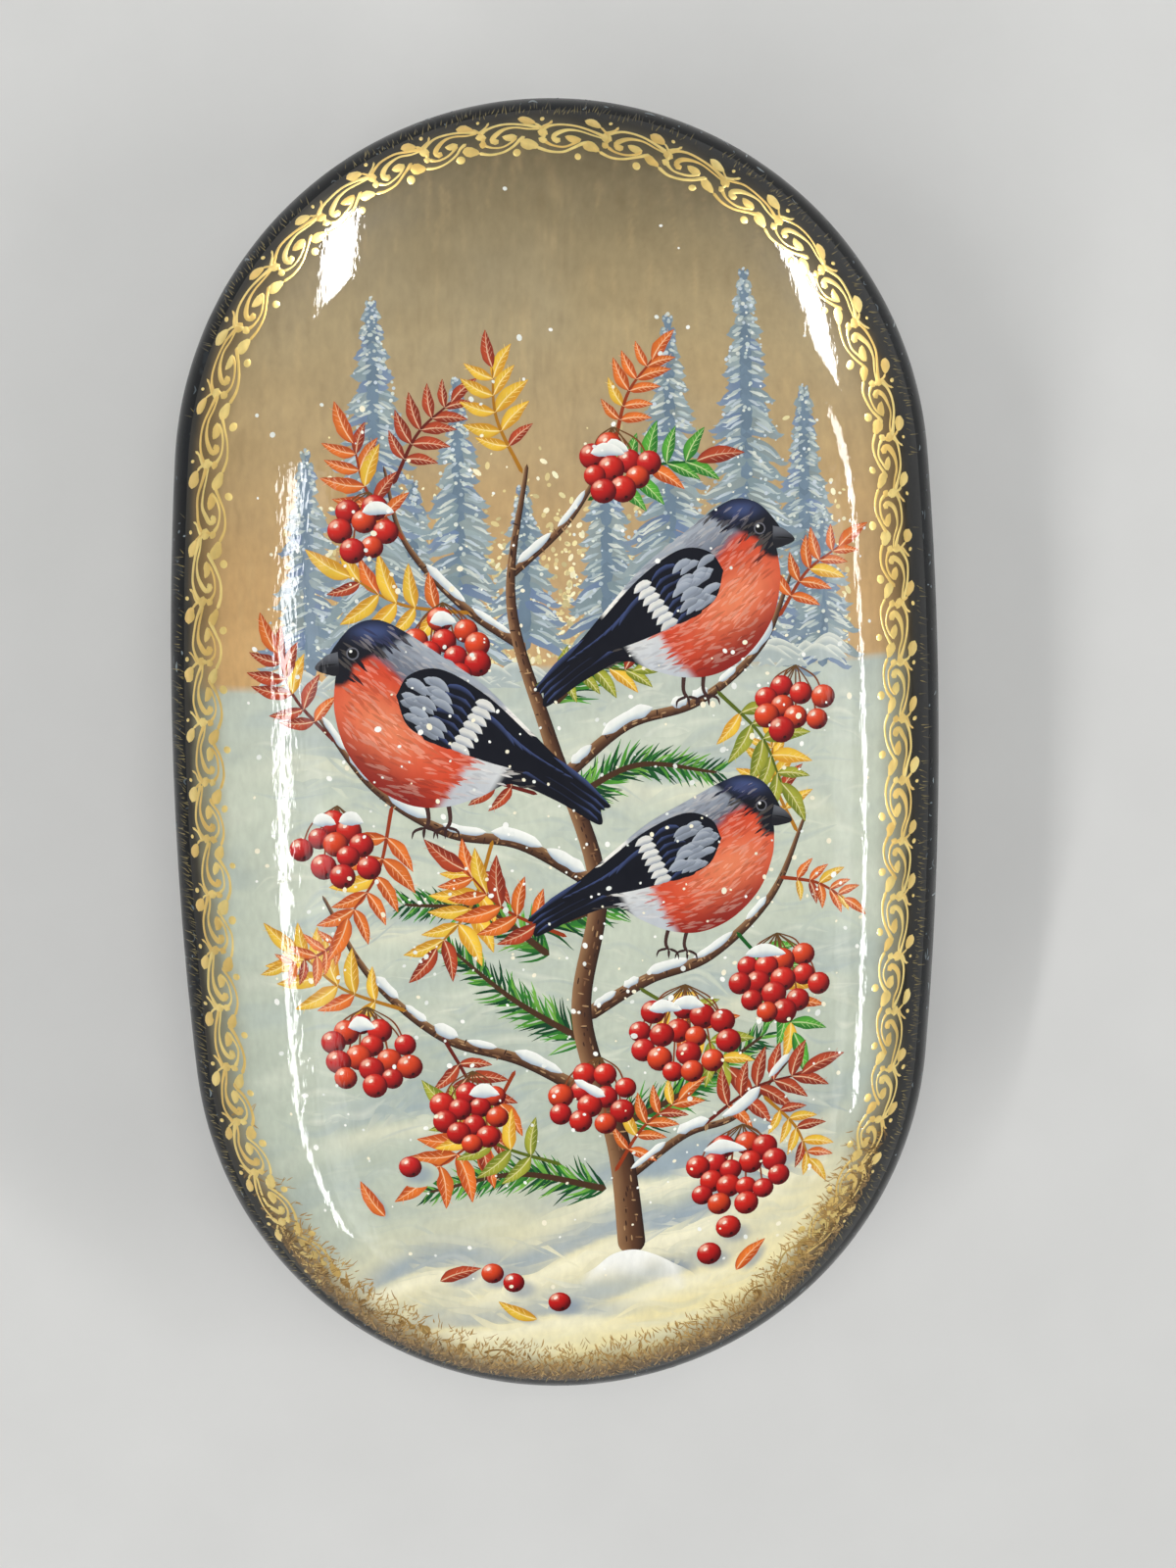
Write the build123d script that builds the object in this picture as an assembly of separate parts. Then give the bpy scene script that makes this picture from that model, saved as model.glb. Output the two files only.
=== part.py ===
from build123d import *
import os
from math import acos, atan2, cos, degrees, radians, sin, sqrt, tan

# A lacquered papier-mache box with rounded ends. It lies with its long axis along Y and its
# lid up, and the origin is the centre of its footprint. The lid turns on a wooden dowel hinge
# let into the long side at -X, flush with the wall.

# Outline seen from above: two round ends joined by long sides that bow a little
box_length = 150.0
box_width = 89.0
side_bow = 1.3

# Pasteboard walls, their glued joints, and the seam between base and lid
wall_thickness = 4.0
glue_gap = 0.05
seam_gap = 0.1
edge_round = 0.6
overrun = 2.0

# Base, from the seam down: a flank that leans in a little, then a round turn to the flat foot
base_height = 25.0
flank_lean = 12.0
foot_radius = 9.5
foot_land = 2.0
floor_ledge = 2.0

# Lid, from the seam up: an upright rim, then three arcs that flatten into a level strip
lid_rim_height = 3.2
edge_radius = 7.0
edge_slope = 52.0
shoulder_radius = 20.0
shoulder_slope = 14.0
level_width = 18.0
tongue_height = 1.0
tongue_thickness = 1.7

# Lip that stands in the base and locates the lid
lip_thickness = 1.5
lip_depth = 8.0
lip_rise = 3.0
lip_clearance = 0.3
lip_chamfer = 0.5

# Dowel hinge: sections glued by turns to the base and to the lid, on one wire
knuckle_count = 7
knuckle_gap = 0.3
barrel_radius = 1.5
barrel_clearance = 0.3
bore_cover = 0.2
pin_radius = 0.5
pin_clearance = 0.05
plug_length = 2.0
lid_opening = 100.0
opening_margin = 6.0

# Outline worked out from its sizes
half_width = box_width / 2
half_length = box_length / 2
end_radius = half_width - side_bow
end_centre = half_length - end_radius
side_radius = (half_width**2 + end_centre**2 - end_radius**2) / (2 * side_bow)
side_centre = side_radius - half_width
meeting_angle = degrees(atan2(end_centre, side_centre))

# Heights and thicknesses that follow from others
seam_height = base_height + seam_gap
lid_edge_height = seam_height + lid_rim_height
lid_thickness = wall_thickness + glue_gap - lip_clearance
lip_foot = base_height - lip_depth

# The flank's radius brings the base down to height 0, and the crown's takes the lid to its strip
flank_top = base_height - edge_round
flank_slope = 90.0 - flank_lean
flank_rise_share = cos(radians(flank_slope))
flank_radius = (flank_top - foot_radius * (1 - flank_rise_share)) / flank_rise_share
edge_share = sin(radians(edge_slope))
shoulder_share = sin(radians(shoulder_slope))
shoulder_inset = edge_radius * (1 - edge_share) + shoulder_radius * (edge_share - shoulder_share)
crown_radius = (end_radius - level_width / 2 - shoulder_inset) / shoulder_share

# The hinge runs as far along the bowed side as the wall still covers the wire's bore
hinge_x = barrel_radius - half_width
hinge_z = base_height + seam_gap / 2
bore_radius = pin_radius + pin_clearance
hinge_bow = barrel_radius - bore_radius - bore_cover
hinge_reach = sqrt(side_radius**2 - (side_radius - hinge_bow) ** 2)
knuckle_length = (2 * hinge_reach - (knuckle_count - 1) * knuckle_gap) / knuckle_count
notch_angle = radians((lid_opening + opening_margin) / 2)


def outline_arcs():
    """The four arcs of the outline, anticlockwise: centre, radius, first angle and sweep."""
    side_sweep = 2 * meeting_angle
    end_sweep = 180 - side_sweep
    return [
        ((-side_centre, 0), side_radius, -meeting_angle, side_sweep),
        ((0, end_centre), end_radius, meeting_angle, end_sweep),
        ((side_centre, 0), side_radius, 180 - meeting_angle, side_sweep),
        ((0, -end_centre), end_radius, 180 + meeting_angle, end_sweep),
    ]


def plate(inset, bottom, top):
    """A flat plate between two heights, whose edge is the outline drawn in by inset."""
    edges = [CenterArc((x, y, bottom), radius - inset, start, sweep)
             for (x, y), radius, start, sweep in outline_arcs()]
    return extrude(make_face(edges), amount=top - bottom)


def outward(slope, rise):
    """The way, in (inset, height), that a side faces where it leans at slope degrees."""
    return Vector(-sin(radians(slope)), rise * cos(radians(slope)))


def slope_at(radius, climb):
    """The slope of an arc that starts upright, once it has gone up or down by climb."""
    return degrees(acos(climb / radius))


def arc_chain(start, arcs, rise, drawn_in, first_slope=90.0):
    """Smoothly joined arcs from upright at start to level, as a chain of points.

    arcs lists each arc's radius and the slope where it ends. rise is 1 for a chain that climbs
    and -1 for one that goes down. The chain is drawn in by drawn_in, and it begins on its first
    arc where the slope is first_slope.
    """
    radius, slope = arcs[0][0], first_slope
    centre = start - outward(90.0, rise) * radius
    chain = [centre + outward(slope, rise) * (radius - drawn_in)]
    for next_radius, next_slope in arcs:
        centre += outward(slope, rise) * (radius - next_radius)
        radius = next_radius
        for s in ((slope + next_slope) / 2, next_slope):
            chain.append(centre + outward(s, rise) * (radius - drawn_in))
        slope = next_slope
    return chain


def base_curve(drawn_in, first_slope=90.0):
    """The base's side, from under its rounded top edge to the flat foot."""
    arcs = [(flank_radius, flank_slope), (foot_radius, 0.0)]
    return arc_chain(Vector(0, flank_top), arcs, -1, drawn_in, first_slope)


def lid_curve(drawn_in, first_slope=90.0):
    """The lid's dome, from the top of the rim to the level strip."""
    arcs = [(edge_radius, edge_slope), (shoulder_radius, shoulder_slope), (crown_radius, 0.0)]
    return arc_chain(Vector(0, lid_edge_height), arcs, 1, drawn_in, first_slope)


def eased_edge(height, rise):
    """A seam face's rounded outer edge, as two points that lead to the upright side."""
    centre = Vector(edge_round, height - rise * edge_round)
    return [Vector(edge_round, height), centre + outward(45.0, rise) * edge_round]


def corners(*places):
    """Plain corners of a cross-section, each a chain of one point."""
    return [[Vector(*place)] for place in places]


def section(chains, radius):
    """The closed face of a cross-section where the outline has that radius.

    Each chain is a list of (inset, height) points: one point is a corner, and a longer chain
    has an arc through each three points in turn. Straight lines join the chains.
    """
    edges = []
    for chain, following in zip(chains, chains[1:] + chains[:1]):
        at = [(radius - point.X, point.Y) for point in chain + following[:1]]
        edges += [ThreePointArc(*at[k:k + 3]) for k in range(0, len(chain) - 1, 2)]
        edges.append(Line(*at[-2:]))
    return make_face(edges)


def ring(chains):
    """A cross-section carried all round the outline, in one turned sector for each arc."""
    sectors = []
    for (x, y), radius, start, sweep in outline_arcs():
        out = Vector(cos(radians(start)), sin(radians(start)))
        plane = Plane(origin=(x, y, 0), x_dir=out, z_dir=(out.Y, -out.X, 0))
        face = plane * section(chains, radius)
        sectors.append(revolve(face, axis=Axis((x, y, 0), (0, 0, 1)), revolution_arc=sweep))
    return sectors[0] + sectors[1:]


def rod(radius, low, high):
    """A round rod on the hinge axis between two places along Y."""
    return Pos(hinge_x, (low + high) / 2, hinge_z) * Rot(90, 0, 0) * Cylinder(radius, high - low)


def knuckle_spans(first):
    """Where every other hinge section lies along Y, from section number first."""
    step = knuckle_length + knuckle_gap
    lows = [number * step - hinge_reach for number in range(first, knuckle_count, 2)]
    return [(low, low + knuckle_length) for low in lows]


def hinge_cut(own_first, other_first):
    """What the hinge takes out of a wall: snug seats for the wall's own dowel sections, free
    seats for the other wall's, a groove to slide the wire in, and a notch for the lid's turn."""
    own = [rod(barrel_radius + glue_gap, low - glue_gap, high + glue_gap)
           for low, high in knuckle_spans(own_first)]
    other = [rod(barrel_radius + barrel_clearance, low - knuckle_gap, high + knuckle_gap)
             for low, high in knuckle_spans(other_first)]
    groove = rod(bore_radius, -half_length, half_length)
    depth = barrel_radius + overrun
    flare = depth * tan(notch_angle)
    mouth_x = hinge_x - depth
    wedge = Polyline((hinge_x, hinge_z), (mouth_x, hinge_z + flare), (mouth_x, hinge_z - flare), close=True)
    notch = extrude(Plane.XZ * make_face(wedge), amount=half_length, both=True)
    return own + other + [groove, notch]


def base_wall():
    """The wound side of the base, with a ledge inside its foot for the bottom panel."""
    outer = base_curve(0)
    foot = outer[-1].X
    land = foot + foot_land
    inner_slope = slope_at(flank_radius - wall_thickness, flank_top - lip_foot)
    inner = base_curve(wall_thickness, inner_slope)
    return ring([
        eased_edge(base_height, 1) + outer,
        *corners((land, 0), (land, floor_ledge), (foot, floor_ledge)),
        inner[::-1],
        *corners((wall_thickness, lip_foot), (wall_thickness, base_height)),
    ]) - hinge_cut(0, 1)


def base_floor():
    """The bottom panel, whose wider upper half rests on the ledge inside the wall."""
    foot = base_curve(0)[-1].X
    lower = plate(foot + foot_land + glue_gap, 0, floor_ledge)
    return lower + plate(foot + glue_gap, floor_ledge, wall_thickness)


def base_lip():
    """The thin ring that stands up out of the base and fits inside the lid."""
    outer = wall_thickness + glue_gap
    inner = outer + lip_thickness
    top = base_height + lip_rise
    chamfer = top - lip_chamfer
    return ring(corners(
        (outer, lip_foot), (inner, lip_foot), (inner, chamfer), (inner - lip_chamfer, top),
        (outer + lip_chamfer, top), (outer, chamfer),
    ))


def lid_rim():
    """The wound rim of the lid, with a tongue that the domed panel is glued round."""
    tongue = lid_thickness - tongue_thickness
    tongue_top = lid_edge_height + tongue_height
    return ring([
        eased_edge(seam_height, -1) + [Vector(0, seam_height + edge_round)],
        *corners((0, lid_edge_height), (tongue, lid_edge_height), (tongue, tongue_top)),
        *corners((lid_thickness, tongue_top), (lid_thickness, seam_height)),
    ]) - hinge_cut(1, 0)


def lid_panel():
    """The pressed dome of the lid, a shell that ends in a rebate over the rim's tongue."""
    outer = lid_curve(0)
    rebate = lid_thickness - tongue_thickness - glue_gap
    rebate_height = tongue_height + glue_gap
    inner = lid_curve(lid_thickness, slope_at(edge_radius - lid_thickness, rebate_height))
    shell = ring([
        outer,
        inner[::-1],
        *corners((rebate, lid_edge_height + rebate_height), (rebate, lid_edge_height)),
    ])
    return shell + plate(outer[-1].X, inner[-1].Y, outer[-1].Y)


def knuckle(low, high):
    """One dowel section, bored for the wire and pared flush with the wall's face."""
    depth = barrel_radius + overrun
    dowel = rod(barrel_radius, low, high) - rod(bore_radius, low - overrun, high + overrun)
    return dowel & plate(0, hinge_z - depth, hinge_z + depth)


def hinge_pin():
    """The wire that all the dowel sections turn on."""
    reach = hinge_reach - plug_length - glue_gap
    return rod(pin_radius, -reach, reach)


def pin_plug(side):
    """A small peg that closes the end of the wire's bore on one side."""
    low, high = sorted((side * (hinge_reach - plug_length), side * hinge_reach))
    return rod(bore_radius - glue_gap / 2, low, high)


parts = {
    "base_wall": base_wall(),
    "base_floor": base_floor(),
    "base_lip": base_lip(),
    "lid_rim": lid_rim(),
    "lid_panel": lid_panel(),
    "hinge_pin": hinge_pin(),
    "pin_plug_front": pin_plug(-1),
    "pin_plug_back": pin_plug(1),
}
for number, (low, high) in enumerate(knuckle_spans(0), start=1):
    parts[f"base_knuckle_{number}"] = knuckle(low, high)
for number, (low, high) in enumerate(knuckle_spans(1), start=1):
    parts[f"lid_knuckle_{number}"] = knuckle(low, high)

os.makedirs("parts", exist_ok=True)
for name, shape in parts.items():
    export_step(shape, f"parts/{name}.step")

print("hinge axis", round(hinge_x, 3), round(hinge_z, 3), "reach", round(hinge_reach, 3))
print("lid level strip from inset", round(lid_curve(0)[-1].X, 3), "height", round(lid_curve(0)[-1].Y, 3))
print("foot from inset", round(base_curve(0)[-1].X, 3), "crown radius", round(crown_radius, 3))
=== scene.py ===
import functools
import math
import random

import bpy
import numpy as np
from mathutils import Matrix, Vector
from mathutils.geometry import delaunay_2d_cdt


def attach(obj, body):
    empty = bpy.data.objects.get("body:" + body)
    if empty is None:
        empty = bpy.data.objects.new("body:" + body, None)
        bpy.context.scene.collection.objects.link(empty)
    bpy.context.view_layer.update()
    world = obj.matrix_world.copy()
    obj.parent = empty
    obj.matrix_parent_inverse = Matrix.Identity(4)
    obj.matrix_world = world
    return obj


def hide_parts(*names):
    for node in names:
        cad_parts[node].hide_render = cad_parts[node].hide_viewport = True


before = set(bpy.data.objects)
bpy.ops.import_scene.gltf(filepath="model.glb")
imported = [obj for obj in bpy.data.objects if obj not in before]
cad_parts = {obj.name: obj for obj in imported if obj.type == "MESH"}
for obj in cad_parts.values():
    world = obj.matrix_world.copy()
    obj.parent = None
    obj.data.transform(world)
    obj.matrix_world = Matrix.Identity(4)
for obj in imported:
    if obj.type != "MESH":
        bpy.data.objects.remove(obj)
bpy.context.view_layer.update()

# A lacquered papier-mache box. The base, the lid's rim and the hinge are the CAD nodes with
# their own materials. The lid's dome is made again here as a fine mesh that carries the painted
# ground, and every brush stroke above the ground is a thin sheet of paint laid on that dome.
# Lengths below are in millimetres until a mesh is made, and angles are in radians.
MM = 0.001

# Outline of the lid seen from above: round ends and long sides that bow a little, and the angle
# above a side's centre at which they meet
HALF_WIDTH = 44.5
HALF_LENGTH = 75.0
SIDE_BOW = 1.3
END_RADIUS = HALF_WIDTH - SIDE_BOW
END_CENTRE = HALF_LENGTH - END_RADIUS
SIDE_RADIUS = (HALF_WIDTH**2 + END_CENTRE**2 - END_RADIUS**2) / (2 * SIDE_BOW)
SIDE_CENTRE = SIDE_RADIUS - HALF_WIDTH
MEETING = math.atan2(END_CENTRE, SIDE_CENTRE)

# Section of the dome from its edge inwards: an edge arc, a shoulder, and a crown that ends level
EDGE_HEIGHT = 28.3
EDGE_RADIUS = 7.0
EDGE_SLOPE = math.radians(52)
SHOULDER_RADIUS = 20.0
SHOULDER_SLOPE = math.radians(14)
LEVEL_INSET = END_RADIUS - 9.0

# The dome's shell, and the rebate under its edge that the rim's tongue fills
SHELL_THICKNESS = 3.75
REBATE_INSET = 2.0
REBATE_HEIGHT = 29.35
INNER_REACH = math.sqrt((EDGE_RADIUS - SHELL_THICKNESS) ** 2 - (REBATE_HEIGHT - EDGE_HEIGHT) ** 2)
INNER_START = EDGE_RADIUS - INNER_REACH

# The ground is drawn in by the depth of the paint, so that no stroke stands above the dome
PAINT_DEPTH = 0.12
PAINT_START = 1.5


def srgb(red, green, blue):
    """A colour given in screen values from 0 to 255, as Blender's linear values."""
    screen = np.array([red, green, blue]) / 255
    return np.where(screen < 0.04045, screen / 12.92, ((screen + 0.055) / 1.055) ** 2.4)


def srgbs(*colours):
    """Several colours given in screen values."""
    return [srgb(*values) for values in colours]


def blend(start, end, share):
    """From start to end by share, which is held between 0 and 1."""
    share = np.clip(share, 0, 1)
    return start + (end - start) * share


def wash(start, end, share):
    """Colours blended by a share of its own for each point."""
    return blend(start, end, share[:, None])


def ramp(low, high, value):
    """0 below low, 1 above high, and a smooth rise between them."""
    share = np.clip((value - low) / (high - low), 0, 1)
    return share * share * (3 - 2 * share)


NOISE_CELLS = 256


@functools.cache
def noise_grid(seed):
    """A fixed field of chance values between -1 and 1."""
    return np.random.default_rng(seed).uniform(-1, 1, (NOISE_CELLS, NOISE_CELLS))


def noise(x, y, size, seed):
    """Smooth noise between -1 and 1, in patches about size across."""
    grid = noise_grid(seed)
    column, row = np.asarray(x) / size + 97.3, np.asarray(y) / size + 101.7
    whole_x, whole_y = np.floor(column).astype(int), np.floor(row).astype(int)
    part_x, part_y = column - whole_x, row - whole_y
    part_x, part_y = part_x**2 * (3 - 2 * part_x), part_y**2 * (3 - 2 * part_y)
    sides = []
    for i in (0, 1):
        low, high = (grid[(whole_x + i) % NOISE_CELLS, (whole_y + j) % NOISE_CELLS] for j in (0, 1))
        sides.append(low + (high - low) * part_y)
    return sides[0] + (sides[1] - sides[0]) * part_x


def rough_noise(x, y, size, seed):
    """Noise with finer and finer patches added, between about -1 and 1."""
    return sum(noise(x, y, size / 2**k, seed + k) / 2**k for k in range(4)) / 1.6


# The dome's surface

def dome_arcs():
    """The arcs of the dome's section, each smooth with the one before it: the place of its
    centre (inset, height), its radius, and the inset that it reaches."""
    step = SHOULDER_RADIUS - EDGE_RADIUS
    shoulder_in = EDGE_RADIUS + step * math.sin(EDGE_SLOPE)
    shoulder_up = EDGE_HEIGHT - step * math.cos(EDGE_SLOPE)
    shoulder_end = shoulder_in - SHOULDER_RADIUS * math.sin(SHOULDER_SLOPE)
    step = (LEVEL_INSET - shoulder_in) / math.sin(SHOULDER_SLOPE)
    crown_up = shoulder_up - step * math.cos(SHOULDER_SLOPE)
    return [
        (EDGE_RADIUS, EDGE_HEIGHT, EDGE_RADIUS, EDGE_RADIUS * (1 - math.sin(EDGE_SLOPE))),
        (shoulder_in, shoulder_up, SHOULDER_RADIUS, shoulder_end),
        (LEVEL_INSET, crown_up, SHOULDER_RADIUS + step, LEVEL_INSET),
    ]


DOME_ARCS = dome_arcs()
LEVEL_HEIGHT = DOME_ARCS[-1][1] + DOME_ARCS[-1][2]


def outline(count_side, count_end):
    """Points on the outline, clockwise from the lower left, and the way out at each. The left
    side and the top end are given a half turn for the right side and the bottom end."""
    left = np.linspace(math.pi + MEETING, math.pi - MEETING, count_side, endpoint=False)
    top = np.linspace(math.pi - MEETING, MEETING, count_end, endpoint=False)
    ways = [np.stack([np.cos(angle), np.sin(angle)], 1) for angle in (left, top)]
    places = np.concatenate([[SIDE_CENTRE, 0] + SIDE_RADIUS * ways[0],
                             [0, END_CENTRE] + END_RADIUS * ways[1]])
    ways = np.concatenate(ways)
    return np.concatenate([places, -places]), np.concatenate([ways, -ways])


def inset_and_way(x, y):
    """How far in from the outline a point is, and the way from it to the nearest edge."""
    beside = np.abs(x) + SIDE_CENTRE
    on_side = np.arctan2(np.abs(y), beside) < MEETING
    beyond = np.abs(y) - END_CENTRE
    reach = np.where(on_side, np.hypot(beside, y), np.hypot(x, beyond))
    inset = np.where(on_side, SIDE_RADIUS, END_RADIUS) - reach
    way_x = np.where(on_side, beside * np.sign(x), x) / np.maximum(reach, 1e-6)
    way_y = np.where(on_side, y, beyond * np.sign(y)) / np.maximum(reach, 1e-6)
    return inset, np.stack([way_x, way_y], -1)


def inset_at(x, y):
    """How far in from the outline one place is."""
    return float(inset_and_way(np.array(x), np.array(y))[0])


def dome_height(inset, drawn_in=0.0):
    """Height and slope of the dome, or of a shell drawn_in below it, at an inset."""
    height = np.full(np.shape(inset), LEVEL_HEIGHT - drawn_in)
    slope = np.zeros(np.shape(inset))
    for centre, level, radius, limit in reversed(DOME_ARCS):
        reach = limit + drawn_in * (centre - limit) / radius
        across = centre - inset
        rise = np.sqrt(np.maximum((radius - drawn_in) ** 2 - across**2, 1e-4))
        within = inset <= reach
        height = np.where(within, level + rise, height)
        slope = np.where(within, across / rise, slope)
    return height, slope


def on_dome(places, lift):
    """Points of the dome under places (x, y), lifted along its normals, and those normals."""
    inset, way = inset_and_way(places[:, 0], places[:, 1])
    height, slope = dome_height(np.clip(inset, 0.0, None))
    normal = np.concatenate([way * slope[:, None], np.ones((len(places), 1))], 1)
    normal /= np.linalg.norm(normal, axis=1, keepdims=True)
    base = np.concatenate([places, height[:, None]], 1)
    depth = PAINT_DEPTH * ramp(0.0, PAINT_START, inset)
    return base + normal * (lift - depth)[:, None], normal


def unrolled(inset, places, ways):
    """A flat map of the dome from above, with the inset replaced by the way down the slope."""
    steps = np.linspace(0, END_RADIUS, 400)
    slope = dome_height(np.clip((steps[1:] + steps[:-1]) / 2, 0.02, None))[1]
    run = np.concatenate([[0], np.cumsum(np.sqrt(1 + slope**2) * np.diff(steps))])
    spread = run[-1] - np.interp(inset, steps, run) - (END_RADIUS - inset)
    return places + ways * spread[:, None]


# Making meshes

def in_scene(name, data):
    """A new object of the scene that shows a mesh, a light or a camera."""
    thing = bpy.data.objects.new(name, data)
    bpy.context.scene.collection.objects.link(thing)
    return thing


def new_object(name, points, faces, material, body):
    """A mesh object from points in millimetres, riding on a body of the frame."""
    mesh = bpy.data.meshes.new(name)
    mesh.from_pydata([tuple(p) for p in points * MM], [], faces)
    mesh.materials.append(material)
    mesh.polygons.foreach_set("use_smooth", [True] * len(mesh.polygons))
    thing = in_scene(name, mesh)
    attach(thing, body)
    return thing


def set_colours(mesh, colours):
    """Stores one colour for each point as the attribute that the paint materials read."""
    attribute = mesh.attributes.new("paint", "FLOAT_COLOR", "POINT")
    values = np.concatenate([colours, np.ones((len(colours), 1))], 1)
    attribute.data.foreach_set("color", values.astype(np.float32).ravel())


def set_map(mesh, places):
    """Stores one place on the flat map for each point, as the UV map OFBake for baked colours."""
    corner_points = np.zeros(len(mesh.loops), dtype=np.int32)
    mesh.loops.foreach_get("vertex_index", corner_points)
    layer = mesh.uv_layers.new(name="OFBake")
    layer.data.foreach_set("uv", places[corner_points].astype(np.float32).ravel())


# Materials

class Nodes:
    """A material's node tree, with short calls to add and join nodes. Places are in the
    object's own frame, in metres."""

    def __init__(self, name, **sockets):
        self.material = bpy.data.materials.new(name)
        self.material.use_nodes = True
        self.tree = self.material.node_tree
        self.shader = next(n for n in self.tree.nodes if n.type == "BSDF_PRINCIPLED")
        for socket, value in sockets.items():
            self.shader.inputs[socket.replace("_", " ")].default_value = value
        coordinates = self.add("TexCoord")
        self.place = coordinates.outputs["Object"]
        self.normal = coordinates.outputs["Normal"]

    def add(self, kind, settings=None, **links):
        """A node of a kind, whose settings are attributes and whose links fill its inputs."""
        node = self.tree.nodes.new("ShaderNode" + kind)
        for key, value in (settings or {}).items():
            setattr(node, key, value)
        for key, value in links.items():
            self.fill(node.inputs[key], value)
        return node

    def fill(self, socket, value):
        """Links a node's first output, or an output, to a socket, or sets a plain value."""
        if isinstance(value, bpy.types.Node):
            value = value.outputs[0]
        if isinstance(value, bpy.types.NodeSocket):
            self.tree.links.new(value, socket)
        else:
            socket.default_value = value

    def mix(self, share, start, end):
        """Two tones mixed by a share. Each is an output or three screen values."""
        node = self.add("Mix", {"data_type": "RGBA"})
        self.fill(node.inputs[0], share)
        for socket, tone in ((6, start), (7, end)):
            self.fill(node.inputs[socket], (*srgb(*tone), 1) if isinstance(tone, tuple) else tone)
        return node.outputs[2]

    def maths(self, kind, *values):
        """Arithmetic on plain values or outputs."""
        node = self.add("Math", {"operation": kind})
        for socket, value in zip(node.inputs, values):
            self.fill(socket, value)
        return node.outputs[0]

    def vector_maths(self, kind, first, second):
        """Arithmetic on two vectors."""
        node = self.add("VectorMath", {"operation": kind})
        self.fill(node.inputs[0], first)
        self.fill(node.inputs["Scale" if kind == "SCALE" else 1], second)
        return node.outputs["Value" if kind == "DOT_PRODUCT" else "Vector"]

    def waves(self, scale):
        """Slow soft unevenness."""
        return self.add("TexNoise", Vector=self.place, Scale=scale, Detail=3.0)

    def spots(self, scale, low, high, detail=4.0, stretch=(1, 1, 1)):
        """Noise turned into a mask: 0 below low, 1 above high."""
        mapping = self.add("Mapping", Vector=self.place, Scale=stretch)
        field = self.add("TexNoise", Vector=mapping, Scale=scale, Detail=detail)
        span = self.add("MapRange", Value=field)
        span.inputs[1].default_value = low
        span.inputs[2].default_value = high
        return span.outputs[0]

    def relief(self, height, distance):
        """A bump node on a height field, with its depth in metres."""
        return self.add("Bump", Height=height, Distance=distance)

    def into(self, value, *sockets):
        """Fills sockets of the shader with one value."""
        for socket in sockets:
            self.fill(self.shader.inputs[socket], value)

    def rough(self, mask, more, least):
        """Roughness that grows from least by more where a mask is 1."""
        self.into(self.maths("MULTIPLY_ADD", mask, more, least), "Roughness")


def red_tone(nodes):
    """Cinnabar red with brushed streaks and darker clouds."""
    streaks = nodes.spots(300, 0.35, 0.75, 5.0, (1, 0.12, 1))
    clouds = nodes.maths("MULTIPLY", nodes.spots(60, 0.3, 0.8), 0.5)
    return nodes.mix(clouds, nodes.mix(streaks, (158, 26, 16), (186, 40, 24)), (122, 16, 12))


def black_lacquer(name, red_inside=None, coat=0.5):
    """Black lacquer with faint clouding, dust nibs and fine rubbing, red where a mask says."""
    nodes = Nodes(name, Roughness=0.35, Specular_IOR_Level=0.05, Coat_Weight=coat,
                  Coat_Roughness=0.08, Coat_IOR=1.4)
    tone = nodes.mix(nodes.spots(90, 0.35, 0.7), (5, 6, 8), (18, 22, 27))
    rubs = nodes.spots(420, 0.66, 0.74, 6.0, (1, 1, 0.25))
    tone = nodes.mix(nodes.maths("MULTIPLY", rubs, 0.4), tone, (54, 62, 68))
    if red_inside:
        tone = nodes.mix(red_inside(nodes), tone, red_tone(nodes))
    nodes.into(tone, "Base Color")
    nodes.rough(nodes.spots(260, 0.3, 0.8), 0.2, 0.15)
    nibs = nodes.spots(900, 0.72, 0.8, 2.0)
    height = nodes.maths("ADD", nodes.waves(160.0), nibs)
    nodes.into(nodes.relief(height, 0.00003), "Normal", "Coat Normal")
    return nodes.material


def red_lacquer():
    """Red lacquer inside the box."""
    nodes = Nodes("inner_red", Roughness=0.28, IOR=1.5, Coat_Weight=1.0, Coat_Roughness=0.06)
    nodes.into(red_tone(nodes), "Base Color")
    nodes.rough(nodes.spots(220, 0.3, 0.8), 0.2, 0.2)
    nodes.into(nodes.relief(nodes.waves(190.0), 0.00004), "Normal", "Coat Normal")
    return nodes.material


# Where the red starts, in metres: above these heights in the base and in the lid, on this side
# of the recess that the hinge lies in, and on faces that lean inwards by at least this
RED_IN_BASE = 0.0035
RED_IN_LID = 0.0255
HINGE_RECESS = -0.0411
LEAST_INWARD = -0.002


def above(height):
    """A mask that is 1 above a height."""
    def mask(nodes):
        up = nodes.add("SeparateXYZ", Vector=nodes.place).outputs[2]
        return nodes.maths("GREATER_THAN", up, height)
    return mask


def facing_in(height):
    """A mask that is 1 on faces that look towards the middle of the box, above a height, apart
    from the hinge's recess."""
    def mask(nodes):
        flat_place = nodes.vector_maths("MULTIPLY", nodes.place, (1, 1, 0))
        outward = nodes.vector_maths("DOT_PRODUCT", flat_place, nodes.normal)
        inward = nodes.maths("LESS_THAN", outward, LEAST_INWARD)
        beside = nodes.add("SeparateXYZ", Vector=nodes.place).outputs[0]
        inward = nodes.maths("MULTIPLY", inward, nodes.maths("GREATER_THAN", beside, HINGE_RECESS))
        return nodes.maths("MULTIPLY", inward, above(height)(nodes))
    return mask


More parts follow.
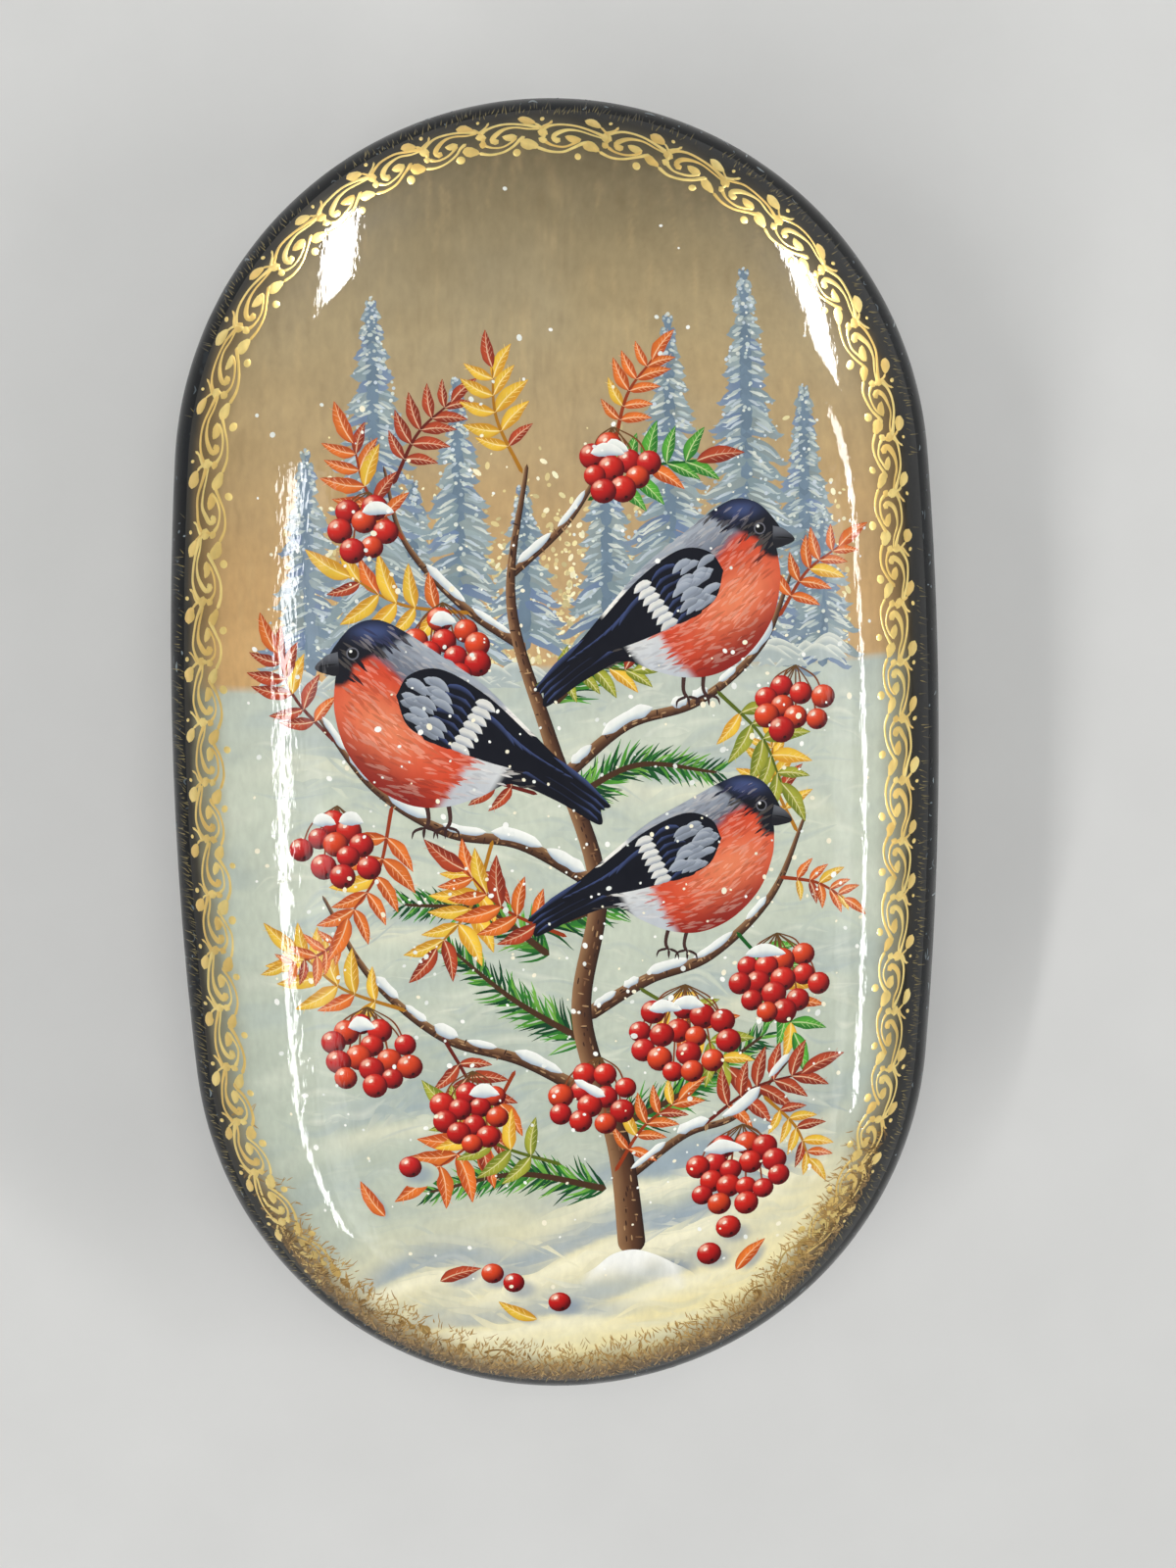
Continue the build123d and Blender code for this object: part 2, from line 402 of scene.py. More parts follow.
def dowel_wood():
    """Blackened hardwood with fine grain along the dowel."""
    nodes = Nodes("dowel_wood", Roughness=0.45, Specular_IOR_Level=0.15, Coat_Weight=0.3,
                  Coat_Roughness=0.2)
    grain = nodes.spots(900, 0.35, 0.7, 5.0, (1, 0.06, 1))
    nodes.into(nodes.mix(grain, (30, 24, 20), (62, 46, 34)), "Base Color")
    nodes.rough(grain, 0.25, 0.35)
    nodes.into(nodes.relief(grain, 0.00004), "Normal")
    return nodes.material


def hinge_wire():
    """Drawn brass wire with fine marks and dull patches."""
    nodes = Nodes("hinge_wire", Metallic=1.0, Roughness=0.25)
    marks = nodes.spots(1500, 0.35, 0.7, 5.0, (1, 0.05, 1))
    dull = nodes.spots(260, 0.45, 0.7)
    tone = nodes.mix(marks, (206, 170, 96), (232, 204, 134))
    nodes.into(nodes.mix(dull, tone, (150, 112, 62)), "Base Color")
    nodes.rough(dull, 0.25, 0.2)
    return nodes.material


def lacquered_paint(name, roughness, grain, metallic=0.0):
    """Paint under clear lacquer: its colour is stored on the mesh, and brushed grain varies it."""
    nodes = Nodes(name, Specular_IOR_Level=0.1, Coat_Weight=0.65, Coat_Roughness=0.025,
                  Coat_IOR=1.45, Metallic=metallic)
    stored = nodes.add("Attribute", {"attribute_name": "paint"}).outputs["Color"]
    fine = nodes.spots(1400, 0.3, 0.75, 4.0, (1, 0.5, 1))
    broad = nodes.spots(240, 0.3, 0.75, 5.0, (0.6, 1, 1))
    level = nodes.maths("MULTIPLY", nodes.maths("ADD", fine, broad), 0.5)
    gain = nodes.maths("MULTIPLY_ADD", level, 2 * grain, 1 - grain)
    nodes.into(nodes.vector_maths("SCALE", stored, gain), "Base Color")
    nodes.rough(level, 0.2, roughness - 0.1)
    nodes.into(nodes.relief(fine, 0.00001), "Normal")
    lacquer = nodes.relief(nodes.waves(120.0), 0.00006)
    brushed = nodes.spots(1300, 0.2, 0.8, 2.0, (1, 0.3, 1))
    nodes.fill(lacquer.inputs["Normal"], nodes.relief(brushed, 0.000011))
    nodes.into(lacquer, "Coat Normal")
    return nodes.material


edge_black = black_lacquer("edge_black", coat=0.18)
inner_red = red_lacquer()
ground_paint = lacquered_paint("ground_paint", 0.5, 0.12)
gold_paint = lacquered_paint("gold_paint", 0.38, 0.14, metallic=0.35)
picture_paint = lacquered_paint("picture_paint", 0.5, 0.1)


# The CAD nodes that stay

wood = dowel_wood()
finishes = {
    "base_wall": black_lacquer("wall_lacquer", facing_in(RED_IN_BASE)),
    "base_floor": black_lacquer("floor_lacquer", above(RED_IN_BASE)),
    "base_lip": inner_red,
    "lid_rim": black_lacquer("rim_lacquer", facing_in(RED_IN_LID)),
    "hinge_pin": hinge_wire(),
}
finishes.update({node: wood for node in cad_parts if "knuckle" in node or "plug" in node})
for node, material in finishes.items():
    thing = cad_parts[node]
    if not thing.material_slots:
        thing.data.materials.append(material)
    for spot in thing.material_slots:
        spot.material = material


# The dome

SIDE_POINTS = 140
END_POINTS = 230
BLACK_ROWS = 8
REBATE_ROWS = 3
# The scale of the flat maps, whose sides are 1: across and along. The dome's two faces share
# one map side by side, and each piece of paint has a whole one.
DOME_MAP = (0.0048, 0.00544)
PAINT_MAP = (0.0098, 0.00543)
edge_places, edge_ways = outline(SIDE_POINTS, END_POINTS)
ROUND = len(edge_places)


def dome_rows():
    """Rows of the dome's section from its middle outwards and back in below: (inset, height,
    whether the row is on the painted face)."""
    outer = np.concatenate([[0.012], np.arange(0.25, 3, 0.25), np.arange(3, 43, 0.45)])
    inner = np.concatenate([[INNER_START], np.arange(4.5, 9, 0.75), np.arange(9.5, 43, 2.2)])
    rows = [(inset, None, True) for inset in outer[::-1]]
    rows += [(REBATE_INSET, EDGE_HEIGHT, False), (REBATE_INSET, REBATE_HEIGHT, False)]
    return rows + [(inset, None, False) for inset in inner]


def closing_faces(start, flip):
    """Faces that close the innermost row: strips between its two long sides and two fans."""
    left = [start + i for i in range(SIDE_POINTS + 1)]
    right = [start + 2 * SIDE_POINTS + END_POINTS - i for i in range(SIDE_POINTS + 1)]
    faces = [(left[i], left[i + 1], right[i + 1], right[i]) for i in range(SIDE_POINTS)]
    top = [start + SIDE_POINTS + i for i in range(END_POINTS + 1)]
    bottom = [start + (2 * SIDE_POINTS + END_POINTS + i) % ROUND for i in range(END_POINTS + 1)]
    faces += [tuple(top), tuple(bottom)]
    return [face[::-1] for face in faces] if flip else faces


def lid_dome():
    """The dome as one closed mesh: painted face, edge, rebate and red inner face."""
    points, normals = [], []
    rows = dome_rows()
    for inset, height, on_top in rows:
        places = edge_places - inset * edge_ways
        if on_top:
            row, normal = on_dome(places, np.zeros(ROUND))
        elif height is not None:
            row = np.concatenate([places, np.full((ROUND, 1), height)], 1)
            normal = np.tile([0.0, 0.0, -1.0], (ROUND, 1))
        else:
            level, slope = dome_height(np.array(inset), SHELL_THICKNESS)
            row = np.concatenate([places, np.full((ROUND, 1), float(level))], 1)
            normal = -np.concatenate([edge_ways * float(slope), np.ones((ROUND, 1))], 1)
            normal /= np.linalg.norm(normal, axis=1, keepdims=True)
        points.append(row)
        normals.append(normal)
    faces = []
    for row in range(len(rows) - 1):
        low, high = row * ROUND, (row + 1) * ROUND
        faces += [(low + i, low + (i + 1) % ROUND, high + (i + 1) % ROUND, high + i)
                  for i in range(ROUND)]
    caps = [closing_faces(0, True), closing_faces((len(rows) - 1) * ROUND, False)]
    faces += caps[0] + caps[1]
    points, normals = np.concatenate(points), np.concatenate(normals)
    dome = new_object("lid_dome", points, faces, ground_paint, "lid")
    mesh = dome.data
    mesh.materials.append(edge_black)
    mesh.materials.append(inner_red)
    painted_rows = sum(on_top for _, _, on_top in rows)
    painted_faces = (painted_rows - 1) * ROUND
    kinds = np.full(len(faces), 2, dtype=np.int32)
    kinds[:painted_faces] = 0
    kinds[painted_faces - BLACK_ROWS * ROUND:painted_faces + REBATE_ROWS * ROUND] = 1
    kinds[-len(caps[0]) - len(caps[1]):-len(caps[1])] = 0
    mesh.polygons.foreach_set("material_index", kinds)
    painted = np.arange(len(points)) < painted_rows * ROUND
    insets = np.repeat([inset for inset, _, _ in rows], ROUND)
    flat = unrolled(insets, points[:, :2], np.tile(edge_ways, (len(rows), 1)))
    middle = np.stack([np.where(painted, 0.25, 0.75), np.full(len(points), 0.5)], 1)
    set_map(mesh, flat * DOME_MAP + middle)
    # A normal of zero leaves the rebate's corners to Blender
    normals[~painted & (np.abs(points[:, 2] - REBATE_HEIGHT) < 0.01)] = 0
    mesh.normals_split_custom_set_from_vertices([tuple(n) for n in normals])
    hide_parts("lid_panel")
    return dome


dome = lid_dome()


# Screen tones of the snow and the sky by height: (y, red, green, blue)
SNOW_TONES = [(-75, 228, 212, 156), (-63, 250, 236, 180), (-55, 238, 228, 184),
              (-46, 193, 199, 180), (-36, 190, 198, 180), (-20, 200, 207, 188),
              (0, 206, 212, 192), (11, 190, 198, 186)]
SKY_TONES = [(11, 218, 174, 116), (20, 204, 164, 110), (34, 190, 160, 112), (48, 178, 157, 116),
             (60, 146, 130, 96), (75, 92, 82, 62)]
# Snow drifts: the middle of each crest, its slope, its bow, its half length and its strength
DRIFTS = [(-15, 4, 0.06, 1.5, 19, 0.5), (17, -1, -0.1, 2, 17, 0.5), (-20, -17, 0.16, 2.5, 15, 0.45),
          (20, -24, 0.14, 2, 16, 0.5), (-16, -38, 0.12, 3, 16, 0.5), (14, -44, 0.34, 1, 22, 1.0),
          (18, -49, 0.4, 1, 14, 0.9), (3, -54, 0.3, 2, 20, 1.0), (-16, -56, 0.2, 4, 12, 1.0),
          (8, -59, 0.3, 1, 16, 0.8), (-6, -63, 0.1, 2, 18, 0.8)]
HORIZON = 11


def by_height(table, at):
    """Colours read off a table at so many heights."""
    heights = [row[0] for row in table]
    tones = np.array([srgb(*row[1:]) for row in table])
    return np.stack([np.interp(at, heights, tones[:, k]) for k in range(3)], 1)


def snow_colours(x, y, rise):
    """The snow drifts at points whose tones are read off at heights rise."""
    snow = by_height(SNOW_TONES, rise + 5 * noise(x, y, 26, 11) + 2.4 * noise(x, y, 9, 12))
    swirl_x, swirl_y = x + 7 * noise(x, y, 30, 3), y + 7 * noise(x, y, 30, 4)
    strokes = rough_noise(swirl_x * 0.5 + swirl_y * 0.9, (swirl_y - swirl_x * 0.4) * 3, 9, 21)
    snow = wash(snow, srgb(224, 226, 206), ramp(0.05, 0.75, strokes) * 0.4)
    snow = wash(snow, srgb(162, 176, 176), ramp(0.05, 0.8, -strokes) * 0.36)
    for x0, y0, slope, bow, half, strength in DRIFTS:
        along = (x - x0) / half
        over = y + 1.2 * noise(x, y, 7, 14) - y0 - slope * (x - x0) + bow * along**2
        fade = ramp(1, 0.3, np.abs(along)) * strength
        shade = np.exp(-(((over - 1.2) / 2.0) ** 2)) * ramp(-0.2, 0.3, over)
        light = np.exp(-(((over + 1.1) / 1.5) ** 2) * (1 + (over > -1.1) * 3))
        snow = wash(snow, srgb(142, 160, 178), shade * fade * 0.7)
        snow = wash(snow, srgb(252, 245, 212), light * fade * 0.85)
    return snow


def sky_colours(x, y):
    """The streaked sky."""
    sky = by_height(SKY_TONES, y + 3 * noise(x, y, 22, 31))
    streaks = rough_noise(x * 5.0, y * 0.8, 3.5, 33)
    sky = wash(sky, srgb(214, 182, 130), ramp(0.1, 0.9, streaks) * 0.2)
    sky = wash(sky, srgb(120, 98, 66), ramp(0.1, 0.9, -streaks) * 0.22)
    return wash(sky, srgb(168, 160, 136), ramp(-0.1, 0.7, rough_noise(x, y, 24, 37)) * 0.3)


def ground_colours(places):
    """The painted ground: sky over snow drifts, fading into the black rim."""
    x, y = places[:, 0], places[:, 1]
    inset, way = inset_and_way(x, y)
    snow = snow_colours(x, y, y - 0.3 * x * ramp(-30, -45, y))
    horizon = HORIZON + 1.4 * noise(x, y * 0, 17, 41) + 0.05 * x
    ground = wash(snow, sky_colours(x, y), ramp(horizon - 0.5, horizon + 0.5, y))
    into = inset - 3.2 - 0.9 * way[:, 0] + 0.5 * way[:, 1] + 0.6 * rough_noise(x, y, 5, 51)
    into += 1.3 * ramp(-50, -66, y)
    tint = wash(srgb(128, 120, 92), srgb(112, 90, 56), ramp(8, 20, y))
    tint = wash(tint, srgb(88, 82, 64), ramp(44, 62, y))
    tint = wash(tint, srgb(122, 94, 54), ramp(-34, -52, y))
    ground = wash(ground, tint, ramp(5.4, 1.2, into) * 0.92)
    ground = wash(ground, srgb(40, 34, 20), ramp(1.5, 0.2, into))
    return wash(ground, srgb(3, 4, 5), ramp(0.5, -0.9, into))


dome_points = np.zeros(len(dome.data.vertices) * 3)
dome.data.vertices.foreach_get("co", dome_points)
set_colours(dome.data, ground_colours(dome_points.reshape(-1, 3) / MM))


# Brush strokes

def smooth_path(points, step):
    """Points about a step apart on a smooth curve through the given ones, and how far along
    it they are."""
    points = np.asarray(points, dtype=float)
    first, last = 2 * points[0] - points[1], 2 * points[-1] - points[-2]
    padded = np.concatenate([[first], points, [last]])
    t = np.linspace(0, 1, 10, endpoint=False)[:, None]
    curve = []
    for a, b, c, d in zip(padded, padded[1:], padded[2:], padded[3:]):
        bend = (2 * a - 5 * b + 4 * c - d) * t**2 + (3 * b - a - 3 * c + d) * t**3
        curve.append(b + ((c - a) * t + bend) / 2)
    curve = np.concatenate(curve + [points[-1:]])
    run = run_along(curve)
    at = np.linspace(0, run[-1], max(4, int(run[-1] / step) + 2))
    return np.stack([np.interp(at, run, curve[:, k]) for k in (0, 1)], 1), at


def run_along(line):
    """How far along a line each of its points is."""
    return np.concatenate([[0], np.cumsum(np.hypot(*np.diff(line, axis=0).T))])


def stretched(table, rows, columns):
    """A small table of colours, blended out to so many rows and columns."""
    table = np.asarray(table, dtype=float)
    table = table[:, None] if table.ndim == 2 else table
    for axis, count in enumerate((rows, columns)):
        at = np.linspace(0, table.shape[axis] - 1, count)
        low = np.floor(at).astype(int)
        high = np.minimum(low + 1, table.shape[axis] - 1)
        share = np.expand_dims(at - low, (1 - axis, 2))
        table = np.take(table, low, axis) * (1 - share) + np.take(table, high, axis) * share
    return table


def crossings(edge, x, y):
    """Where a closed outline crosses the line that runs right from each place."""
    x, y = np.asarray(x)[..., None], np.asarray(y)[..., None]
    end = np.roll(edge, -1, axis=0)
    rise = end[:, 1] - edge[:, 1]
    share = (y - edge[:, 1]) / np.where(np.abs(rise) < 1e-9, 1e-9, rise)
    beyond = x < edge[:, 0] + share * (end - edge)[:, 0]
    return ((edge[:, 1] > y) != (end[:, 1] > y)) & beyond


def inside(edge, x, y):
    """Whether places lie inside a closed outline."""
    return crossings(np.asarray(edge), x, y).sum(-1) % 2 == 1


# Each sheet of paint lies a layer above all that it covers. The layers are thicker near the
# edge, where the dome curves more and the sheets' flat faces dip further below it. What is
# covered is kept by cells of a grid with its middle on the dome's.
LAYER = 0.0007
EDGE_LAYER = 0.0015
FIRST_LAYER = 0.004
MOST_LAYERS = 140
CELL = 0.4
MIDDLE_CELL = (120, 200)
CELLS = (2 * MIDDLE_CELL[0], 2 * MIDDLE_CELL[1])


class Paint:
    """Strokes of paint that lie on the dome, gathered and then made into one mesh."""

    tops = np.zeros(CELLS, dtype=int)
    taken = np.zeros((*CELLS, MOST_LAYERS), dtype=bool)

    def __init__(self):
        self.floor = None
        self.sheets, self.faces, self.count = [], [], 0

    def coat(self, free=True):
        """Begins a coat. In a free one the strokes lie as low as they can, in any order."""
        self.floor = Paint.tops.copy() if free else None

    def sheet(self, places, tones, relief=0.0):
        """Adds a grid of points as one sheet of paint."""
        rows, columns = places.shape[:2]
        number = np.arange(rows * columns).reshape(rows, columns)
        quads = [number[:-1, :-1], number[:-1, 1:], number[1:, 1:], number[1:, :-1]]
        quads = np.stack(quads, -1).reshape(-1, 4)
        tones = stretched(tones, rows, columns).reshape(-1, 3)
        relief = np.broadcast_to(relief, (rows, columns)).ravel()
        self.add(places.reshape(-1, 2), quads, tones, relief)

    def add(self, places, faces, tones, relief=0.0):
        """Adds points and their faces, which are turned to look up."""
        corner = places[faces]
        last = corner.shape[1] - 1
        span, other = corner[:, 2] - corner[:, 0], corner[:, last] - corner[:, 1]
        turned = span[:, 0] * other[:, 1] - span[:, 1] * other[:, 0] < 0
        faces[turned] = faces[turned][:, ::-1]
        self.faces += (faces + self.count).tolist()
        near = places[:, None] + CELL / 2 * np.array([(-1, -1), (-1, 1), (1, -1), (1, 1)])
        cells = tuple((np.floor(near / CELL).astype(int) + MIDDLE_CELL).reshape(-1, 2).T)
        level = (Paint.tops if self.floor is None else self.floor)[cells].max() + 1
        while Paint.taken[cells][:, level].any():
            level += 1
        Paint.taken[(*cells, level)] = True
        Paint.tops[cells] = np.maximum(Paint.tops[cells], level)
        count = len(places)
        self.sheets.append((places, tones, np.full(count, level), np.broadcast_to(relief, count)))
        self.count += count

    def patch(self, outline_points, tone_at, spacing):
        """A filled shape with a smooth outline, coloured by a function of place."""
        closed = list(outline_points) + [outline_points[0]]
        edge = smooth_path(closed, spacing)[0][:-1]
        low, high = edge.min(0), edge.max(0)
        columns = np.arange(low[0], high[0], spacing)
        rows = np.arange(low[1], high[1], spacing * 0.87)
        grid = np.stack(np.meshgrid(columns, rows), -1)
        grid[1::2, :, 0] += spacing / 2
        grid = grid.reshape(-1, 2)
        gap = np.hypot(*(grid[:, None] - edge[None]).transpose(2, 0, 1)).min(1)
        inner = grid[inside(edge, grid[:, 0], grid[:, 1]) & (gap > spacing * 0.45)]
        points = [Vector(q) for q in np.concatenate([edge, inner])]
        links = [(k, (k + 1) % len(edge)) for k in range(len(edge))]
        made = delaunay_2d_cdt(points, links, [list(range(len(edge)))], 1, 1e-5)
        places = np.array([tuple(q) for q in made[0]])
        faces = np.array([face for face in made[2] if len(face) == 3])
        self.add(places, faces, tone_at(places[:, 0], places[:, 1]))

    def stroke(self, path, widths, tones, across=3, step=0.4, relief=0.0):
        """A stroke along a smooth path. widths are spread evenly along it, and tones is a list
        of colours along it, or rows of colours across it."""
        line, at = smooth_path(path, step)
        width = np.interp(np.linspace(0, 1, len(line)), np.linspace(0, 1, len(widths)), widths)
        for gap, size in ((at, widths[0]), (at[-1] - at, widths[-1])):
            share = np.clip(gap / max(size / 2, 0.01), 0, 1)
            width = width * np.sqrt(np.clip(1 - (1 - share) ** 2, 0.01, 1))
        way = np.gradient(line, axis=0)
        way /= np.maximum(np.hypot(way[:, 0], way[:, 1]), 1e-9)[:, None]
        side = np.stack([way[:, 1], -way[:, 0]], 1)
        offset = np.linspace(-1, 1, across)
        reach = np.maximum(width, 0.03)[:, None] / 2 * offset
        places = line[:, None] + side[:, None] * reach[..., None]
        height = relief * (1 - offset**2) * (width / max(width.max(), 0.01))[:, None]
        self.sheet(places, tones, height)

    def ball(self, x, y, size, dark, base, light, squash=1.0):
        """A round berry, shaded as if lit from the upper left."""
        angle = np.linspace(0.15, math.pi - 0.15, 9)
        offset = np.linspace(-1, 1, 9)
        across_x = -np.cos(angle)[:, None] + 0 * offset
        across_y = -np.sin(angle)[:, None] * offset
        depth = np.sqrt(np.clip(1 - across_x**2 - across_y**2, 0, 1))
        lit = np.clip(-0.45 * across_x + 0.6 * across_y + 0.66 * depth, 0, 1)[..., None]
        tones = blend(dark, base, 1.35 * lit)
        tones = blend(tones, light, ramp(0.86, 1.0, lit) * 0.9)
        places = np.stack([x + across_x * size / 2, y + across_y * size / 2 * squash], -1)
        self.sheet(places, tones)

    def dot(self, x, y, size, tones, long=1.0, turn=0.0, across=5, relief=0.0):
        """A round or oval touch of the brush. tones may be a function of the places."""
        reach = np.array([math.cos(turn), math.sin(turn)]) * size * long / 2
        angle = np.linspace(0, math.pi, across + 2)
        line = np.array([x, y]) - np.cos(angle)[:, None] * reach
        width = np.maximum(np.sin(angle) * size, 0.02)
        side = np.array([math.sin(turn), -math.cos(turn)])
        offset = np.linspace(-1, 1, across)
        places = line[:, None] + side * (width[:, None] / 2 * offset)[..., None]
        tones = tones(places) if callable(tones) else tones
        self.sheet(places, tones, relief * (1 - offset**2) * np.sin(angle)[:, None])

    def finish(self, name, material):
        """Makes the mesh. Apart from the raised gold, its reflections run on from the dome's."""
        places, tones, levels, reliefs = (np.concatenate(part) for part in zip(*self.sheets))
        inset, way = inset_and_way(places[:, 0], places[:, 1])
        layer = blend(EDGE_LAYER, LAYER, ramp(11, 14, inset))
        points, normals = on_dome(places, FIRST_LAYER + levels * layer + reliefs)
        thing = new_object(name, points, self.faces, material, "lid")
        set_colours(thing.data, tones)
        set_map(thing.data, unrolled(inset, places, way) * PAINT_MAP + 0.5)
        if material is not gold_paint:
            thing.data.normals_split_custom_set_from_vertices(normals.tolist())


def lay_on(draw, hand, material=picture_paint):
    """One piece of paint, named after the function that draws it."""
    layers = Paint()
    draw(layers, hand)
    layers.finish(draw.__name__, material)


# The gold border. Places along it are lengths from the lower left, clockwise, on a line a
# little way in from the outline.
BORDER_REPEATS = 55
REFERENCE_INSET = 5.5
dense_places, dense_ways = (np.concatenate([part, part[:1]]) for part in outline(400, 700))
reference_run = run_along(dense_places - REFERENCE_INSET * dense_ways)
ROUND_LENGTH = reference_run[-1]


def read_along(run, table):
    """A table of pairs for the dense outline, read at lengths along the border."""
    return [np.interp(np.mod(run, ROUND_LENGTH), reference_run, table[:, k]) for k in (0, 1)]


def beside_edge(run, inset):
    """The place at a length along the border and an inset."""
    spots, ways = read_along(run, dense_places), read_along(run, dense_ways)
    return np.stack([spot - way * inset for spot, way in zip(spots, ways)], -1)


def border_inset(run):
    """How far in the border's outer leaves start: the painter set it a little off centre."""
    out_x, out_y = read_along(run, dense_ways)
    run = np.mod(run, ROUND_LENGTH)
    return 3.1 + 0.7 * out_x - 0.25 * out_y + 0.15 * noise(run, run * 0, 23, 61)


def wear_at(run):
    """0 where the border is crisp, up to 1 at the bottom where it is scrubbed."""
    y = beside_edge(run, 5.0)[..., 1]
    return ramp(-50, -62, y + 3 * noise(run, run * 0, 11, 62))


# One repeat of the scrollwork: paths in (run, inset) for a repeat of this length, their widths,
# and dots as (run, inset, size)
REPEAT_LENGTH = 6.9
SCROLL = [
    ([(1.6, 1.6), (2.4, 1.15), (3.6, 0.85), (5.2, 0.9), (6.8, 1.3), (8.3, 1.8)],
     [0.34, 0.22, 0.2, 0.2, 0.24, 0.36]),
    ([(8.3, 1.95), (7.0, 1.8), (5.6, 1.45), (4.3, 1.5), (3.3, 1.9), (2.75, 2.45), (3.0, 2.9),
      (3.5, 2.65)], [0.2, 0.18, 0.2, 0.2, 0.3, 0.44, 0.5, 0.66]),
    ([(0.85, 3.75), (2.2, 4.2), (3.7, 4.15), (5.0, 3.65), (5.9, 3.1), (6.6, 2.75)],
     [0.3, 0.24, 0.2, 0.22, 0.26, 0.4]),
    ([(1.7, 2.95), (2.6, 3.5), (3.8, 3.55), (4.9, 3.15), (5.6, 2.55)],
     [0.34, 0.18, 0.18, 0.2, 0.36]),
    ([(4.0, 2.3), (4.6, 2.55), (5.2, 2.6), (5.7, 2.5)], [0.2, 0.62, 0.7, 0.3]),
    ([(0.8, 0.75), (1.15, 1.05), (1.5, 1.5), (1.75, 2.0), (1.6, 2.7)],
     [0.22, 0.2, 0.3, 0.42, 0.24]),
    ([(1.35, 1.5), (1.9, 1.15), (2.5, 0.75), (2.75, 0.35)], [0.34, 0.24, 0.16, 0.26]),
    ([(-0.85, 0.15), (-0.45, 0.3), (0.0, 0.42), (0.45, 0.58), (0.95, 0.85)],
     [0.3, 0.75, 0.85, 0.6, 0.2]),
    ([(-0.95, 3.0), (-0.5, 3.15), (0.0, 3.35), (0.5, 3.55), (0.95, 3.8)],
     [0.35, 0.85, 0.9, 0.6, 0.28]),
    ([(1.0, 1.8), (1.55, 1.95), (2.15, 2.15)], [0.45, 0.8, 0.4]),
    ([(1.15, 2.7), (1.5, 2.85), (2.0, 3.05)], [0.35, 0.68, 0.35]),
]
SCROLL_DOTS = [(1.75, 0.12, 0.42), (5.45, 4.5, 0.8)]
GOLD_RELIEF = 0.03


def gold_border(gold, hand):
    """The scrolled gold border, drawn clockwise by hand, and worn away towards the bottom."""
    gold.coat()
    bright, deep, worn = srgbs((254, 228, 146), (236, 194, 108), (146, 110, 58))
    pitches = [1 + 0.14 * noise(k * 1.0, 0.0, 6, 71) + hand.uniform(-0.07, 0.07)
               for k in range(BORDER_REPEATS)]
    starts = np.cumsum([0] + pitches) / sum(pitches) * ROUND_LENGTH
    for start, end in zip(starts, starts[1:]):
        pitch = end - start
        wear = float(wear_at(np.array(start + pitch / 2)))
        top = float(border_inset(start + pitch / 2))
        sink, lean = hand.uniform(-0.12, 0.12), hand.uniform(-0.05, 0.05)

        def placed(points, jitter=0.07):
            runs = [start + run * pitch / REPEAT_LENGTH + hand.uniform(-jitter, jitter)
                    for run, _ in points]
            insets = [top + sink + inset + lean * run + hand.uniform(-jitter, jitter)
                      for run, inset in points]
            return beside_edge(np.array(runs), np.array(insets))

        for points, widths in SCROLL:
            if wear > 0.5 and hand.random() < wear - 0.2:
                continue
            weight = hand.uniform(1.1, 1.5)
            tone = blend(bright, deep, hand.random() * 0.8)
            tone = blend(tone, worn, wear * hand.uniform(0.8, 1.1))
            # Each stroke is painted darker along one side, a painted shade on the raised gold
            shade = blend(tone, deep * 0.75, 0.35)
            gold.stroke(placed(points), [w * weight for w in widths], [[tone, tone, shade]],
                        across=5, step=0.25, relief=GOLD_RELIEF * (1 - wear))
        for run, inset, size in SCROLL_DOTS:
            if wear > 0.6:
                continue
            x, y = placed([(run, inset)], 0.12)[0]
            tone = blend(bright, worn, wear)
            tones = [[tone], [blend(tone, deep, 0.5)]]
            gold.dot(x, y, size * hand.uniform(0.85, 1.2), tones, hand.uniform(1, 1.3),
                     hand.uniform(0, 3), relief=GOLD_RELIEF)


def rim_hatching(hatch, hand):
    """Fine olive strokes outside the border, where they show."""
    hatch.coat()
    tones = srgbs((124, 110, 56), (96, 84, 40), (150, 132, 72), (78, 68, 34))
    run = 0.0
    while run < ROUND_LENGTH:
        run += hand.uniform(0.14, 0.42)
        thick = float(noise(run, 0.0, 13, 81)) + 0.5 * float(noise(run, 0.0, 4, 82))
        if hand.random() > 0.7 + thick:
            continue
        outer = float(border_inset(run)) - hand.uniform(0.2, 1.1)
        length, lean = hand.uniform(0.5, 1.3), hand.uniform(-0.1, 0.55)
        ends = beside_edge(np.array([run, run + lean / 2, run + lean]),
                           np.array([outer, outer - length * 0.5, outer - length]))
        hatch.stroke(ends, [0.14, 0.11, 0.05], [hand.choice(tones), srgb(44, 38, 20)], step=0.3)


def bottom_scrub(scrub, hand):
    """Short gold-brown strokes scrubbed over the border and the snow at the bottom."""
    scrub.coat()
    dark, middle, light = srgbs((108, 82, 42), (158, 120, 62), (200, 164, 100))
    for _ in range(19000):
        run = hand.uniform(0, ROUND_LENGTH)
        x, y = beside_edge(run, 5.0)
        depth = hand.uniform(0, 1) ** 1.2
        if y > -36:
            continue
        thick = ramp(-40, -58, y + 5 * noise(run, 0.0, 7, 91)) * (1.15 - 0.85 * depth)
        if hand.random() > thick:
            continue
        lowest = ramp(-50, -66, y)
        start = 3.3 - 1.2 * lowest + 0.016 * x + depth * (5.2 + lowest)
        length, lean = hand.uniform(0.4, 1.2), hand.gauss(0, 0.5)
        path = beside_edge(run + np.array([0, lean * 0.6, lean]),
                           start + np.array([0, 0.5, 1]) * length)
        tone = blend(middle, light, hand.random())
        tone = blend(dark, tone, ramp(0, 0.5, depth + hand.gauss(0, 0.2)))
        width = hand.uniform(0.12, 0.34) * (1.1 - 0.5 * depth)
        scrub.stroke(path, [width, width * 0.8, 0.05], [tone], step=0.45)


